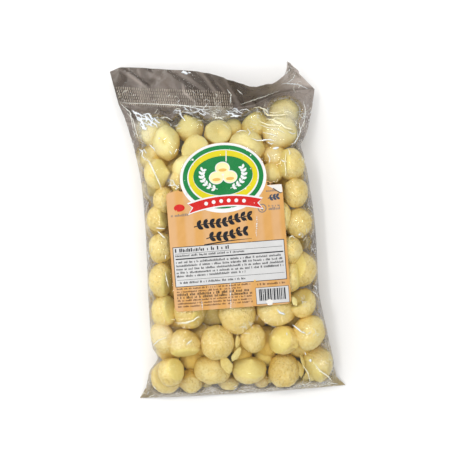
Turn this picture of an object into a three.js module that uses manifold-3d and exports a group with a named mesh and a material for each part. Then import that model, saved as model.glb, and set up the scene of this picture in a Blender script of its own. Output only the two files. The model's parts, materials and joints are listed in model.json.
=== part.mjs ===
// A clear pillow bag full of small round cheese puffs, lying on its back with its labelled side up.
// Millimetres, +Z up. The bag's length runs along Y, with the sealed header towards +Y and the folded
// end towards -Y. The origin is on the surface that the bag rests on, under the middle of its outline.
//
// Two solids: the filled bag, whose film is drawn tight over two layers of puffs, and the sticker on it.

import * as THREE from "three";
import { mergeVertices } from "three/addons/utils/BufferGeometryUtils.js";
import Module from "manifold-3d";

// ---------- Driving dimensions ----------

const PUFF_RADIUS = 12.6; // an average puff of the lower layer
const PUFF_SPREAD = 0.08; // how much larger or smaller a puff may be, as a share
const WIDEST_ROW = 5; // puffs side by side; every other row holds one fewer, in the hollows
const PUFF_PITCH = 29.5; // from puff to puff in a row
const ROW_PITCH = 26.7;
const ROWS = 9;
const FIRST_ROW = -118; // the row nearest the folded end
const JITTER = 3.5; // how far a puff may lie from its place in the rows
// The upper layer, whose puffs show round the sticker: the middle and radius of each one.
const UPPER_PUFFS = [
  [-52.5, 92.6, 11.3], [-42.6, 80.8, 12.5], [-23.9, 92.8, 12.1], [-20.6, 76.1, 11.3], [-0.2, 86.4, 11.7],
  [14.6, 91.3, 8.1], [29.2, 93.1, 10.5], [22.3, 76.1, 12.9], [53.9, 96.6, 12.5], [47.8, 80.2, 13.7],
  [40.6, 63.6, 11.3], [54.5, 54.8, 11.3], [-53.3, 57.5, 12.1], [56.5, 33.1, 11.3], [-52.6, 35.6, 11.3],
  [59, 10.2, 11.3], [-58.9, 16.4, 10.5], [53, -9.7, 10.8], [-56.3, -3.5, 11.3], [56.4, -32.1, 12.1],
  [-58.1, -26.3, 12.1], [56.8, -58.5, 11.8], [-58.7, -48.6, 11.3], [-34.8, -61.3, 12.9],
  [-3.1, -62.6, 13.7], [29.2, -63.1, 13.4], [-65.8, -70.8, 10.1], [-44.1, -84, 13.5], [-17.6, -85.9, 13.5],
  [9, -85, 12.1], [34.4, -87.1, 12.3], [57.6, -82.2, 13.5], [-55.2, -104.8, 12.5], [-25.6, -109, 13.7],
  [5, -109, 13.7], [33.7, -112.4, 12.9], [61.3, -107.3, 12.1], [-29, -37, 12.6], [-2, -36, 12.6],
  [26, -38, 12.6], [-33, -13, 12.8], [-6, -11, 12.4], [20, -13, 12.9], [-29, 11, 12.6], [-2, 13, 12.8],
  [27, 11, 12.5], [-31, 35, 12.6], [-4, 36, 12.4], [24, 34, 12.6], [-27, 57, 12.2], [-1, 60, 12.4],
  [23, 54, 12],
];
const UPPER_LAYER = 34; // the height at which the upper layer's puffs start
const SETTLING_STEPS = 200;
const SINKING = 0.04; // how far a puff sinks in each settling step
const HOMING = 0.15; // share of its way back that an upper puff takes in each step
const EDGE_CLEARANCE = 1.2; // from a puff to the bag's outline
const SEED = 7;

const FILM_GAP = 0.5; // the upper film stands this far off the puffs
const UNDER_GAP = 1.5; // the lower film too, before the bag's weight presses it flat
const FLOOR_GAP = 0.3; // from a puff to what the bag rests on
const FIELD_STEP = 2; // spacing of the grid on which the film's height is worked out
const TIGHTENING_STEPS = 400;
const OVER_RELAXATION = 1.7;
const EDGE_HALF = 0.5; // half the thickness of the bag's edge and header
const CELLS_ACROSS = 36;
const CELLS_ALONG = 52;
const HEADER_CELLS = 5;

// The outline seen from above: the side creases as [y, x], and the seal's lower line as [x, y].
const LEFT_EDGE = [
  [-128, -88.4], [-118, -81.8], [-104, -76.6], [-94, -69], [-84, -72.2], [-45, -71.3],
  [0, -68.6], [50, -67.8], [78, -71], [106, -76.8], [118.4, -80.8],
];
const RIGHT_EDGE = [
  [-134, 85.6], [-125.6, 79], [-108, 76.2], [-81, 72.2], [-52, 69], [0, 70.8],
  [40, 69.2], [62, 67], [70, 65.7], [77, 70.3], [93, 76.4], [115.4, 82],
];
const SEAL_LINE = [
  [-80.6, 118.4], [-51, 113.8], [-22, 109.8], [12, 106.5], [28, 106.8], [40, 111], [54, 115], [81.8, 115.4],
];
const FOLD_BOW = 1.5; // the folded end bows out by this much
// Height of the side creases along the bag, as [y, z]. The seal's line takes the last height.
const EDGE_HEIGHT = [
  [-134, 1.6], [-122, 5], [-102, 14], [-72, 21], [-30, 24], [40, 24], [80, 21], [106, 17], [140, 17],
];
// The most that a puff's top may reach, as [y, z].
const CEILING = [
  [-134, 23], [-118, 31], [-100, 44], [-84, 48], [62, 48], [76, 45], [92, 35], [112, 23],
];

// The header above the seal's line, from the left end (0) to the right end (1).
const HEADER_REACH = [[0, 27.6], [0.07, 32], [0.3, 31.6], [0.55, 29.6], [1, 29.4]];
const HEADER_TILT = [
  [0, 6], [0.27, 4], [0.44, 20], [0.55, 40], [0.63, 59], [0.7, 71], [0.78, 79], [0.85, 70], [0.92, 38], [1, 8],
]; // degrees up from level
const HEADER_TURN = [[0, -9], [0.3, -5], [0.6, -2], [0.78, -2], [0.86, -12], [0.93, -28], [1, -41]];

const LABEL_CENTRE = new THREE.Vector2(-1.6, -8);
const LABEL_WIDTH = 92.5;
const LABEL_LENGTH = 95;
const LABEL_TURN = THREE.MathUtils.degToRad(-1.1);
const LABEL_CORNER = 3.5;
const LABEL_GAP = 0.5; // between film and sticker, and again the sticker's own thickness
const CREST_CENTRE = 56; // the oval crest that rises over the label's upper edge, from the label's middle
const CREST_HALF_WIDTH = 34.5;
const CREST_HALF_HEIGHT = 28;
const CUTTER_HEIGHT = 100; // taller than the bag
const LABEL_MARGIN = 6; // the layer that the sticker is cut from reaches this far past it
const STIFF_REACH = 14; // the sticker bridges dips narrower than about this
const STIFF_SHARE = 0.75;
const STIFF_FADE = 8; // outside the sticker the stiffness fades over this distance
const MERGE_TOLERANCE = 1e-4;

// ---------- Helpers ----------

// The value at x of a smooth line through [x, value] pairs.
function along(pairs, x) {
  const last = pairs.length - 1;
  let k = 0;
  while (k < last - 1 && x > pairs[k + 1][0]) k += 1;
  const slope = (i) => {
    const before = pairs[Math.max(i - 1, 0)];
    const after = pairs[Math.min(i + 1, last)];
    return (after[1] - before[1]) / (after[0] - before[0]);
  };
  const span = pairs[k + 1][0] - pairs[k][0];
  const t = Math.min(Math.max((x - pairs[k][0]) / span, 0), 1);
  const rise = t * t * (3 - 2 * t);
  const bend = t * (1 - t) * span * ((1 - t) * slope(k) - t * slope(k + 1));
  return pairs[k][1] * (1 - rise) + pairs[k + 1][1] * rise + bend;
}

// Numbers from 0 to 1, always the same ones for a seed.
function randomFrom(seed) {
  let state = seed;
  return () => {
    state = (Math.imul(state, 1664525) + 1013904223) >>> 0;
    return state / 4294967296;
  };
}

const foldLine = (x) => {
  const [left, right] = [LEFT_EDGE[0], RIGHT_EDGE[0]];
  const t = (x - left[1]) / (right[1] - left[1]);
  return left[0] + (right[0] - left[0]) * t - FOLD_BOW * 4 * t * (1 - t);
};

// ---------- The puffs: a lower layer in shaken rows and an upper layer, which settle ----------

function seedPuffs() {
  const random = randomFrom(SEED);
  const shake = () => JITTER * (2 * random() - 1);
  const puffs = [];
  for (let row = 0; row < ROWS; row += 1) {
    const count = WIDEST_ROW - ((row + 1) % 2);
    for (let k = 0; k < count; k += 1) {
      const radius = PUFF_RADIUS * (1 + PUFF_SPREAD * (2 * random() - 1));
      const x = (k - (count - 1) / 2) * PUFF_PITCH + shake();
      const y = FIRST_ROW + row * ROW_PITCH + shake();
      puffs.push({ x, y, z: radius, radius });
    }
  }
  for (const [x, y, radius] of UPPER_PUFFS) puffs.push({ x, y, z: UPPER_LAYER, radius, home: { x, y } });
  return puffs;
}

// Pushes apart puffs that overlap, and keeps each one inside the bag.
function settlePuffs(puffs) {
  for (let step = 0; step < SETTLING_STEPS; step += 1) {
    for (let i = 0; i < puffs.length; i += 1) {
      for (let j = i + 1; j < puffs.length; j += 1) {
        const [a, b] = [puffs[i], puffs[j]];
        const [dx, dy, dz] = [b.x - a.x, b.y - a.y, b.z - a.z];
        const apart = Math.sqrt(dx * dx + dy * dy + dz * dz);
        const push = (a.radius + b.radius - apart) / (2 * apart);
        if (push <= 0) continue;
        a.x -= dx * push;
        a.y -= dy * push;
        a.z -= dz * push;
        b.x += dx * push;
        b.y += dy * push;
        b.z += dz * push;
      }
    }
    for (const p of puffs) {
      if (p.home) {
        p.x += (p.home.x - p.x) * HOMING;
        p.y += (p.home.y - p.y) * HOMING;
      }
      const room = p.radius + EDGE_CLEARANCE;
      p.z = Math.min(p.z - SINKING, along(CEILING, p.y) - p.radius);
      p.z = Math.max(p.z, p.radius + FLOOR_GAP);
      p.x = Math.max(p.x, along(LEFT_EDGE, p.y) + room);
      p.x = Math.min(p.x, along(RIGHT_EDGE, p.y) - room);
      p.y = Math.max(p.y, foldLine(p.x) + room);
      p.y = Math.min(p.y, along(SEAL_LINE, p.x) - room);
    }
  }
  return puffs;
}

// ---------- The film: a skin drawn tight over the puffs ----------

const FIELD = { x: -92, y: -138, columns: 93, rows: 131 };
const fieldX = (i) => FIELD.x + i * FIELD_STEP;
const fieldY = (j) => FIELD.y + j * FIELD_STEP;

function insideOutline(x, y) {
  return x > along(LEFT_EDGE, y) && x < along(RIGHT_EDGE, y) && y > foldLine(x) && y < along(SEAL_LINE, x);
}

// side is +1 for the film over the puffs and -1 for the film under them.
function drawFilm(puffs, side) {
  const { columns, rows } = FIELD;
  const limit = new Float64Array(columns * rows).fill(-Infinity);
  const gap = side > 0 ? FILM_GAP : UNDER_GAP;
  for (const p of puffs) {
    for (let j = 0; j < rows; j += 1) {
      for (let i = 0; i < columns; i += 1) {
        const left = p.radius ** 2 - (fieldX(i) - p.x) ** 2 - (fieldY(j) - p.y) ** 2;
        if (left <= 0) continue;
        const reach = side * p.z + Math.sqrt(left) + gap;
        limit[j * columns + i] = Math.max(limit[j * columns + i], reach);
      }
    }
  }
  const height = new Float64Array(columns * rows);
  const free = [];
  for (let j = 0; j < rows; j += 1) {
    for (let i = 0; i < columns; i += 1) {
      const at = j * columns + i;
      height[at] = side * along(EDGE_HEIGHT, fieldY(j));
      const rim = i === 0 || j === 0 || i === columns - 1 || j === rows - 1;
      if (!rim && insideOutline(fieldX(i), fieldY(j))) free.push(at);
    }
  }
  for (let step = 0; step < TIGHTENING_STEPS; step += 1) {
    for (const at of free) {
      const mean = (height[at - 1] + height[at + 1] + height[at - columns] + height[at + columns]) / 4;
      height[at] = Math.max(limit[at], height[at] + OVER_RELAXATION * (mean - height[at]));
    }
  }
  return height;
}

function sampleField(height, x, y) {
  const u = Math.min(Math.max((x - FIELD.x) / FIELD_STEP, 0), FIELD.columns - 1.001);
  const v = Math.min(Math.max((y - FIELD.y) / FIELD_STEP, 0), FIELD.rows - 1.001);
  const [i, j] = [Math.floor(u), Math.floor(v)];
  const at = j * FIELD.columns + i;
  const low = height[at] * (1 - u + i) + height[at + 1] * (u - i);
  const high = height[at + FIELD.columns] * (1 - u + i) + height[at + FIELD.columns + 1] * (u - i);
  return low * (1 - v + j) + high * (v - j);
}

// How far a point is inside the sticker's outline, in its own turned axes. Negative is outside.
function labelDepth(x, y) {
  const [c, s] = [Math.cos(LABEL_TURN), Math.sin(LABEL_TURN)];
  const u = (x - LABEL_CENTRE.x) * c + (y - LABEL_CENTRE.y) * s;
  const v = -(x - LABEL_CENTRE.x) * s + (y - LABEL_CENTRE.y) * c;
  const sheet = Math.min(LABEL_WIDTH / 2 - Math.abs(u), LABEL_LENGTH / 2 - Math.abs(v));
  const oval = Math.hypot(u / CREST_HALF_WIDTH, (v - CREST_CENTRE) / CREST_HALF_HEIGHT);
  return Math.max(sheet, (1 - oval) * CREST_HALF_HEIGHT);
}

// The film and the sticker on it are stiffer together, so there they bridge the dips between puffs.
function stiffenUnderLabel(height) {
  const { columns, rows } = FIELD;
  const cells = Math.round(STIFF_REACH / FIELD_STEP);
  const around = (source, merge, finish) => {
    const made = Float64Array.from(source);
    for (let j = cells; j < rows - cells; j += 1) {
      for (let i = cells; i < columns - cells; i += 1) {
        if (labelDepth(fieldX(i), fieldY(j)) < -STIFF_FADE - STIFF_REACH) continue;
        let value = merge.start;
        let count = 0;
        for (let b = -cells; b <= cells; b += 1) {
          for (let a = -cells; a <= cells; a += 1) {
            if (a * a + b * b > cells * cells) continue;
            value = merge.add(value, source[(j + b) * columns + i + a]);
            count += 1;
          }
        }
        made[j * columns + i] = finish(value, count);
      }
    }
    return made;
  };
  const highest = around(height, { start: -Infinity, add: Math.max }, (value) => value);
  const rounded = around(highest, { start: 0, add: (a, b) => a + b }, (value, count) => value / count);
  return height.map((value, at) => {
    const [i, j] = [at % columns, Math.floor(at / columns)];
    const t = Math.min(Math.max(labelDepth(fieldX(i), fieldY(j)) / STIFF_FADE + 1, 0), 1);
    const share = STIFF_SHARE * t * t * (3 - 2 * t);
    return value + share * Math.max(rounded[at] - value, 0);
  });
}

// ---------- The bag as one closed body ----------

// The plan position of a grid point: a goes across the bag and b from the fold to the seal.
function planPoint(a, b) {
  const [bottomLeft, bottomRight] = [LEFT_EDGE[0], RIGHT_EDGE[0]];
  const [topLeft, topRight] = [LEFT_EDGE[LEFT_EDGE.length - 1], RIGHT_EDGE[RIGHT_EDGE.length - 1]];
  const leftY = bottomLeft[0] + (topLeft[0] - bottomLeft[0]) * b;
  const rightY = bottomRight[0] + (topRight[0] - bottomRight[0]) * b;
  const foldX = bottomLeft[1] + (bottomRight[1] - bottomLeft[1]) * a;
  const sealX = topLeft[1] + (topRight[1] - topLeft[1]) * a;
  const corners = [
    (1 - a) * (1 - b), a * (1 - b), (1 - a) * b, a * b,
  ];
  const ends = [bottomLeft, bottomRight, topLeft, topRight];
  const cornerX = corners.reduce((sum, w, k) => sum + w * ends[k][1], 0);
  const cornerY = corners.reduce((sum, w, k) => sum + w * ends[k][0], 0);
  const sides = (1 - a) * along(LEFT_EDGE, leftY) + a * along(RIGHT_EDGE, rightY);
  const x = sides + (1 - b) * foldX + b * sealX - cornerX;
  const rows = (1 - b) * foldLine(foldX) + b * along(SEAL_LINE, sealX);
  const y = (1 - a) * leftY + a * rightY + rows - cornerY;
  return [x, y];
}

// A point of the header's middle surface, reach millimetres above the seal's line.
function headerPoint(a, reach) {
  const [x, y] = planPoint(a, 1);
  const tilt = THREE.MathUtils.degToRad(along(HEADER_TILT, a));
  const turn = THREE.MathUtils.degToRad(along(HEADER_TURN, a));
  const level = reach * Math.cos(tilt);
  const z = along(EDGE_HEIGHT, y) + reach * Math.sin(tilt);
  return new THREE.Vector3(x + level * Math.sin(turn), y + level * Math.cos(turn), z);
}

function headerNormal(a, reach) {
  const step = 0.01;
  const across = headerPoint(Math.min(a + step, 1), reach).sub(headerPoint(Math.max(a - step, 0), reach));
  const up = headerPoint(a, reach + 1).sub(headerPoint(a, reach));
  return across.cross(up).normalize();
}

// One sheet of the bag as rows of points, from the fold to the header's cut edge.
function bagSheet(height, side) {
  const rows = [];
  for (let j = 0; j <= CELLS_ALONG; j += 1) {
    const row = [];
    for (let i = 0; i <= CELLS_ACROSS; i += 1) {
      const [x, y] = planPoint(i / CELLS_ACROSS, j / CELLS_ALONG);
      const edge = i === 0 || j === 0 || i === CELLS_ACROSS || j === CELLS_ALONG;
      const flat = along(EDGE_HEIGHT, y) + side * EDGE_HALF;
      const film = side * sampleField(height, x, y);
      const z = edge ? flat : side > 0 ? Math.max(film, flat) : Math.min(film, flat);
      row.push(new THREE.Vector3(x, y, Math.max(z, 0)));
    }
    rows.push(row);
  }
  for (let j = 1; j <= HEADER_CELLS; j += 1) {
    const row = [];
    for (let i = 0; i <= CELLS_ACROSS; i += 1) {
      const a = i / CELLS_ACROSS;
      const reach = (along(HEADER_REACH, a) * j) / HEADER_CELLS;
      row.push(headerPoint(a, reach).addScaledVector(headerNormal(a, reach), side * EDGE_HALF));
    }
    rows.push(row);
  }
  return rows;
}

function closedBetween(upper, lower) {
  const points = [];
  const corner = (p) => points.push(p.x, p.y, p.z);
  const quad = (a, b, c, d) => [a, b, c, a, c, d].forEach(corner);
  const rows = upper.length - 1;
  const cells = upper[0].length - 1;
  for (let j = 0; j < rows; j += 1) {
    for (let i = 0; i < cells; i += 1) {
      quad(upper[j][i], upper[j][i + 1], upper[j + 1][i + 1], upper[j + 1][i]);
      quad(lower[j][i], lower[j + 1][i], lower[j + 1][i + 1], lower[j][i + 1]);
    }
    quad(upper[j][0], upper[j + 1][0], lower[j + 1][0], lower[j][0]);
    quad(upper[j + 1][cells], upper[j][cells], lower[j][cells], lower[j + 1][cells]);
  }
  for (let i = 0; i < cells; i += 1) {
    quad(upper[0][i + 1], upper[0][i], lower[0][i], lower[0][i + 1]);
    quad(upper[rows][i], upper[rows][i + 1], lower[rows][i + 1], lower[rows][i]);
  }
  const geometry = new THREE.BufferGeometry();
  geometry.setAttribute("position", new THREE.Float32BufferAttribute(points, 3));
  return mergeVertices(geometry, MERGE_TOLERANCE);
}

// ---------- The sticker: a slice of a layer over the film, cut to its outline ----------

function labelShape() {
  const shape = new THREE.Shape();
  const [w, l, r] = [LABEL_WIDTH / 2, LABEL_LENGTH / 2, LABEL_CORNER];
  // The crest's oval crosses the upper edge at this share of its own half width.
  const crossing = Math.acos(Math.sqrt(1 - ((CREST_CENTRE - l) / CREST_HALF_HEIGHT) ** 2));
  const shoulder = CREST_HALF_WIDTH * Math.cos(crossing);
  shape.moveTo(-w + r, -l);
  shape.lineTo(w - r, -l);
  shape.absarc(w - r, -l + r, r, -Math.PI / 2, 0);
  shape.lineTo(w, l - r);
  shape.absarc(w - r, l - r, r, 0, Math.PI / 2);
  shape.lineTo(shoulder, l);
  shape.absellipse(0, CREST_CENTRE, CREST_HALF_WIDTH, CREST_HALF_HEIGHT, -crossing, Math.PI + crossing);
  shape.lineTo(-w + r, l);
  shape.absarc(-w + r, l - r, r, Math.PI / 2, Math.PI);
  shape.lineTo(-w, -l + r);
  shape.absarc(-w + r, -l + r, r, Math.PI, 1.5 * Math.PI);
  return shape;
}

// A layer over the part of the film's sheet that the sticker covers, in the same facets as the film.
function labelLayer(sheet) {
  const covered = (p) => labelDepth(p.x, p.y) > -LABEL_MARGIN;
  const body = sheet.slice(0, CELLS_ALONG + 1);
  const rows = body.filter((row) => row.some(covered));
  const columns = rows[0].map((_, i) => rows.some((row) => covered(row[i])));
  const [first, last] = [columns.indexOf(true), columns.lastIndexOf(true)];
  const lifted = (lift) => {
    const rise = new THREE.Vector3(0, 0, lift);
    return rows.map((row) => row.slice(first, last + 1).map((p) => p.clone().add(rise)));
  };
  return closedBetween(lifted(2 * LABEL_GAP), lifted(LABEL_GAP));
}

function labelCutter() {
  const options = { depth: CUTTER_HEIGHT, bevelEnabled: false, curveSegments: 20 };
  const cutter = new THREE.ExtrudeGeometry(labelShape(), options);
  cutter.rotateZ(LABEL_TURN);
  cutter.translate(LABEL_CENTRE.x, LABEL_CENTRE.y, 0);
  return cutter;
}

const wasm = await Module();
wasm.setup();

function solidFrom(geometry) {
  const bare = geometry.clone();
  bare.deleteAttribute("normal");
  bare.deleteAttribute("uv");
  const merged = mergeVertices(bare, MERGE_TOLERANCE);
  return new wasm.Manifold(
    new wasm.Mesh({
      numProp: 3,
      vertProperties: merged.attributes.position.array,
      triVerts: new Uint32Array(merged.index.array),
    }),
  );
}

function geometryFrom(solid) {
  const mesh = solid.getMesh();
  const geometry = new THREE.BufferGeometry();
  geometry.setAttribute("position", new THREE.BufferAttribute(Float32Array.from(mesh.vertProperties), 3));
  geometry.setIndex(new THREE.BufferAttribute(Uint32Array.from(mesh.triVerts), 1));
  geometry.computeVertexNormals();
  return geometry;
}

// ---------- Assembly ----------

const puffs = settlePuffs(seedPuffs());
const over = stiffenUnderLabel(drawFilm(puffs, 1));
const under = drawFilm(puffs, -1);
const upperSheet = bagSheet(over, 1);
const bagGeometry = closedBetween(upperSheet, bagSheet(under, -1));
const labelGeometry = geometryFrom(solidFrom(labelLayer(upperSheet)).intersect(solidFrom(labelCutter())));

bagGeometry.computeVertexNormals();
bagGeometry.computeBoundingBox();
const middle = bagGeometry.boundingBox.getCenter(new THREE.Vector3());

const bag = new THREE.Mesh(
  bagGeometry,
  new THREE.MeshStandardMaterial({ color: 0xe6cf86, roughness: 0.35, metalness: 0 }),
);
bag.name = "bag";

const label = new THREE.Mesh(
  labelGeometry,
  new THREE.MeshStandardMaterial({ color: 0xf0b878, roughness: 0.45, metalness: 0 }),
);
label.name = "label";

const pack = new THREE.Group();
for (const piece of [bag, label]) {
  piece.position.set(-middle.x, -middle.y, 0);
  pack.add(piece);
}

export default pack;
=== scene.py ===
# %% [markdown]
# # A bag of small cheese breads
# A clear pillow bag lies on its back, full of airy cheese puffs, with a printed sticker on its film and a
# crimped seal at its upper end. The packed model is the frame: metres, +Z up, +Y towards the seal. Its solid
# bag has the right outline and volume, but it is one lump. Here it becomes what it is made of: puffs, a thin
# wrinkled film, crimping and a sticker. The shapes are worked out in millimetres and scaled when a mesh is
# made.

# %% Load the frame
import json
import math

import bmesh
import bpy
import numpy as np
from mathutils import Matrix, Vector
from mathutils.bvhtree import BVHTree
from mathutils.geometry import delaunay_2d_cdt

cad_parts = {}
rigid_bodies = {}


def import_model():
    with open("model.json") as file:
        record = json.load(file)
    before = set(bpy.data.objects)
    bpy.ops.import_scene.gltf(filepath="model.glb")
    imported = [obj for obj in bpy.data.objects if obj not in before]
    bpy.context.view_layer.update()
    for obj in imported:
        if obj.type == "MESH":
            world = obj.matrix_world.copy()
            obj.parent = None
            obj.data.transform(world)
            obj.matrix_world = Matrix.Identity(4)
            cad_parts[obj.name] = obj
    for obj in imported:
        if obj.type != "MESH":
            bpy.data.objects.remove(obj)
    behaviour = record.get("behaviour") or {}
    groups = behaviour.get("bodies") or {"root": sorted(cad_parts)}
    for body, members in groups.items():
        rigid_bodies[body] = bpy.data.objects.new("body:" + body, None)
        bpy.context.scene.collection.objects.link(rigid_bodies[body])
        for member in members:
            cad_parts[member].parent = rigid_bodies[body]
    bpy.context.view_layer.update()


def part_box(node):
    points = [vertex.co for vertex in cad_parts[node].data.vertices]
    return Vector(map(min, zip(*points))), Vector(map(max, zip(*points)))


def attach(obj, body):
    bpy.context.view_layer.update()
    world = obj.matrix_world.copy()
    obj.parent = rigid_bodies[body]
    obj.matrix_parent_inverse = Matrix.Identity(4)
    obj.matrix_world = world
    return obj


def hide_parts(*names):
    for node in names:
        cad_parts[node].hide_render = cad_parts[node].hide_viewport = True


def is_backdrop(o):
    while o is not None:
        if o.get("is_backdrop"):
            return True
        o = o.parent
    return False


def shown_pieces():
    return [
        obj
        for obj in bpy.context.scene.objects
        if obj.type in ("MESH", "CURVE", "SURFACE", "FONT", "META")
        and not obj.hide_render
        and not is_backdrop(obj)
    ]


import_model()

MM = 0.001

# %% [markdown]
# ## The bag's outline
# A filled pillow bag isn't a rectangle: its side creases draw in between the puffs and flare at both ends.
# A few measured points for each edge are enough, with a smooth line through them, because film takes long
# even curves. The same points shape the solid bag, so the film ends up exactly where the frame has it.

# %% Outline and heights of the edges
LEFT_EDGE = [  # y, x
    (-128, -88.4), (-118, -81.8), (-104, -76.6), (-94, -69), (-84, -72.2), (-45, -71.3),
    (0, -68.6), (50, -67.8), (78, -71), (106, -76.8), (118.4, -80.8),
]
RIGHT_EDGE = [
    (-134, 85.6), (-125.6, 79), (-108, 76.2), (-81, 72.2), (-52, 69), (0, 70.8),
    (40, 69.2), (62, 67), (70, 65.7), (77, 70.3), (93, 76.4), (115.4, 82),
]
SEAL_LINE = [  # x, y
    (-80.6, 118.4), (-51, 113.8), (-22, 109.8), (12, 106.5),
    (28, 106.8), (40, 111), (54, 115), (81.8, 115.4),
]
EDGE_HEIGHT = [  # y, z
    (-134, 1.6), (-122, 5), (-102, 14), (-72, 21), (-30, 24), (40, 24), (80, 21), (106, 17), (140, 17),
]
FOLD_BOW = 1.5  # the folded end bows out by this much


def along(pairs, x):
    """The value at x, a number or an array, of a smooth line through (x, value) pairs."""
    place, value = np.array(pairs, float).T
    x = np.asarray(x, float)
    k = np.searchsorted(place[1:-1], x, side="left")
    slope = np.empty(len(place))
    slope[1:-1] = (value[2:] - value[:-2]) / (place[2:] - place[:-2])
    slope[0] = (value[1] - value[0]) / (place[1] - place[0])
    slope[-1] = (value[-1] - value[-2]) / (place[-1] - place[-2])
    span = place[k + 1] - place[k]
    t = np.clip((x - place[k]) / span, 0, 1)
    rise = t * t * (3 - 2 * t)
    bend = t * (1 - t) * span * ((1 - t) * slope[k] - t * slope[k + 1])
    return value[k] * (1 - rise) + value[k + 1] * rise + bend


def fold_line(x):
    """How far down the folded end reaches at x."""
    (left_y, left_x), (right_y, right_x) = LEFT_EDGE[0], RIGHT_EDGE[0]
    t = (x - left_x) / (right_x - left_x)
    return left_y + (right_y - left_y) * t - FOLD_BOW * 4 * t * (1 - t)


bag_low, bag_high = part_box("bag")
SHIFT = np.array([bag_low[0] / MM - LEFT_EDGE[0][1], bag_low[1] / MM - RIGHT_EDGE[0][0], 0.0])
print("outline sits at a shift of", SHIFT.round(2), "mm")

# %% [markdown]
# ## Where the puffs lie
# The puffs fill the bag in two layers. The upper ones get a place each, because they are what one sees, and
# the lower ones start in shaken rows. Then all of them settle: every pair that overlaps is pushed apart, and
# nobody leaves the bag. A physics simulation could do it too, but this loop is quick and always ends the
# same.

# %% Puffs: first places
PUFF_RADIUS, PUFF_SPREAD = 12.6, 0.08
WIDEST_ROW, ROWS, FIRST_ROW = 5, 9, -118
PUFF_PITCH, ROW_PITCH, JITTER = 29.5, 26.7, 3.5
UPPER_LAYER = 34  # the height at which the upper puffs start
UPPER_PUFFS = [  # x, y, radius
    (-52.5, 92.6, 11.3), (-42.6, 80.8, 12.5), (-23.9, 92.8, 12.1), (-20.6, 76.1, 11.3), (-0.2, 86.4, 11.7),
    (14.6, 91.3, 8.1), (29.2, 93.1, 10.5), (22.3, 76.1, 12.9), (53.9, 96.6, 12.5), (47.8, 80.2, 13.7),
    (40.6, 63.6, 11.3), (54.5, 54.8, 11.3), (-53.3, 57.5, 12.1), (56.5, 33.1, 11.3), (-52.6, 35.6, 11.3),
    (59, 10.2, 11.3), (-58.9, 16.4, 10.5), (53, -9.7, 10.8), (-56.3, -3.5, 11.3), (56.4, -32.1, 12.1),
    (-58.1, -26.3, 12.1), (56.8, -58.5, 11.8), (-58.7, -48.6, 11.3), (-34.8, -61.3, 12.9),
    (-3.1, -62.6, 13.7), (29.2, -63.1, 13.4), (-65.8, -70.8, 10.1), (-44.1, -84, 13.5), (-17.6, -85.9, 13.5),
    (9, -85, 12.1), (34.4, -87.1, 12.3), (57.6, -82.2, 13.5), (-55.2, -104.8, 12.5), (-25.6, -109, 13.7),
    (5, -109, 13.7), (33.7, -112.4, 12.9), (61.3, -107.3, 12.1), (-29, -37, 12.6), (-2, -36, 12.6),
    (26, -38, 12.6), (-33, -13, 12.8), (-6, -11, 12.4), (20, -13, 12.9), (-29, 11, 12.6), (-2, 13, 12.8),
    (27, 11, 12.5), (-31, 35, 12.6), (-4, 36, 12.4), (24, 34, 12.6), (-27, 57, 12.2), (-1, 60, 12.4),
    (23, 54, 12),
]


def random_from(seed):
    """A function that gives numbers from 0 to 1, the same ones each time for a seed."""
    state = seed

    def draw():
        nonlocal state
        state = (state * 1664525 + 1013904223) % 4294967296
        return state / 4294967296

    return draw


def seed_puffs():
    """The puffs as rows of x, y, z and radius, the lower layer first."""
    draw = random_from(7)
    shake = lambda: JITTER * (2 * draw() - 1)
    puffs = []
    for row in range(ROWS):
        count = WIDEST_ROW - (row + 1) % 2
        for k in range(count):
            radius = PUFF_RADIUS * (1 + PUFF_SPREAD * (2 * draw() - 1))
            x = (k - (count - 1) / 2) * PUFF_PITCH + shake()
            y = FIRST_ROW + row * ROW_PITCH + shake()
            puffs.append([x, y, radius, radius])
    lower = len(puffs)
    puffs += [[x, y, UPPER_LAYER, radius] for x, y, radius in UPPER_PUFFS]
    return puffs, lower


seeds, LOWER = seed_puffs()
print(f"{LOWER} puffs below and {len(seeds) - LOWER} above")


# %% Puffs: settling
CEILING = [(-134, 23), (-118, 31), (-100, 44), (-84, 48), (62, 48), (76, 45), (92, 35), (112, 23)]  # y, z
SETTLING_STEPS = 200
SINKING = 0.04  # millimetres in each step
HOMING = 0.15  # share of its way back that an upper puff takes in each step
EDGE_CLEARANCE = 1.2
FLOOR_GAP = 0.3


def push_apart(a, b):
    """Moves two overlapping puffs away from each other until they touch."""
    gap = [b[k] - a[k] for k in range(3)]
    squared = gap[0] * gap[0] + gap[1] * gap[1] + gap[2] * gap[2]
    reach = a[3] + b[3]
    if squared >= reach * reach:
        return
    push = (reach / math.sqrt(squared) - 1) / 2
    for k in range(3):
        a[k] -= gap[k] * push
        b[k] += gap[k] * push


def settle_puffs(puffs, lower):
    """Shakes the puffs down into the bag and returns them as an array."""
    homes = [tuple(puff[:2]) for puff in puffs]
    for _ in range(SETTLING_STEPS):
        for i, a in enumerate(puffs):
            for b in puffs[i + 1 :]:
                push_apart(a, b)
        made = np.array(puffs)
        pull = np.where(np.arange(len(made)) >= lower, HOMING, 0)[:, None]
        made[:, :2] += (np.array(homes) - made[:, :2]) * pull
        x, y, z, radius = made.T
        room = radius + EDGE_CLEARANCE
        z[:] = np.maximum(np.minimum(z - SINKING, along(CEILING, y) - radius), radius + FLOOR_GAP)
        x[:] = np.minimum(np.maximum(x, along(LEFT_EDGE, y) + room), along(RIGHT_EDGE, y) - room)
        y[:] = np.minimum(np.maximum(y, fold_line(x) + room), along(SEAL_LINE, x) - room)
        puffs = made.tolist()
    return made


puffs = settle_puffs(seeds, LOWER)
print(f"the highest settles at {(puffs[:, 2] + puffs[:, 3]).max():.1f} mm")

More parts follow.
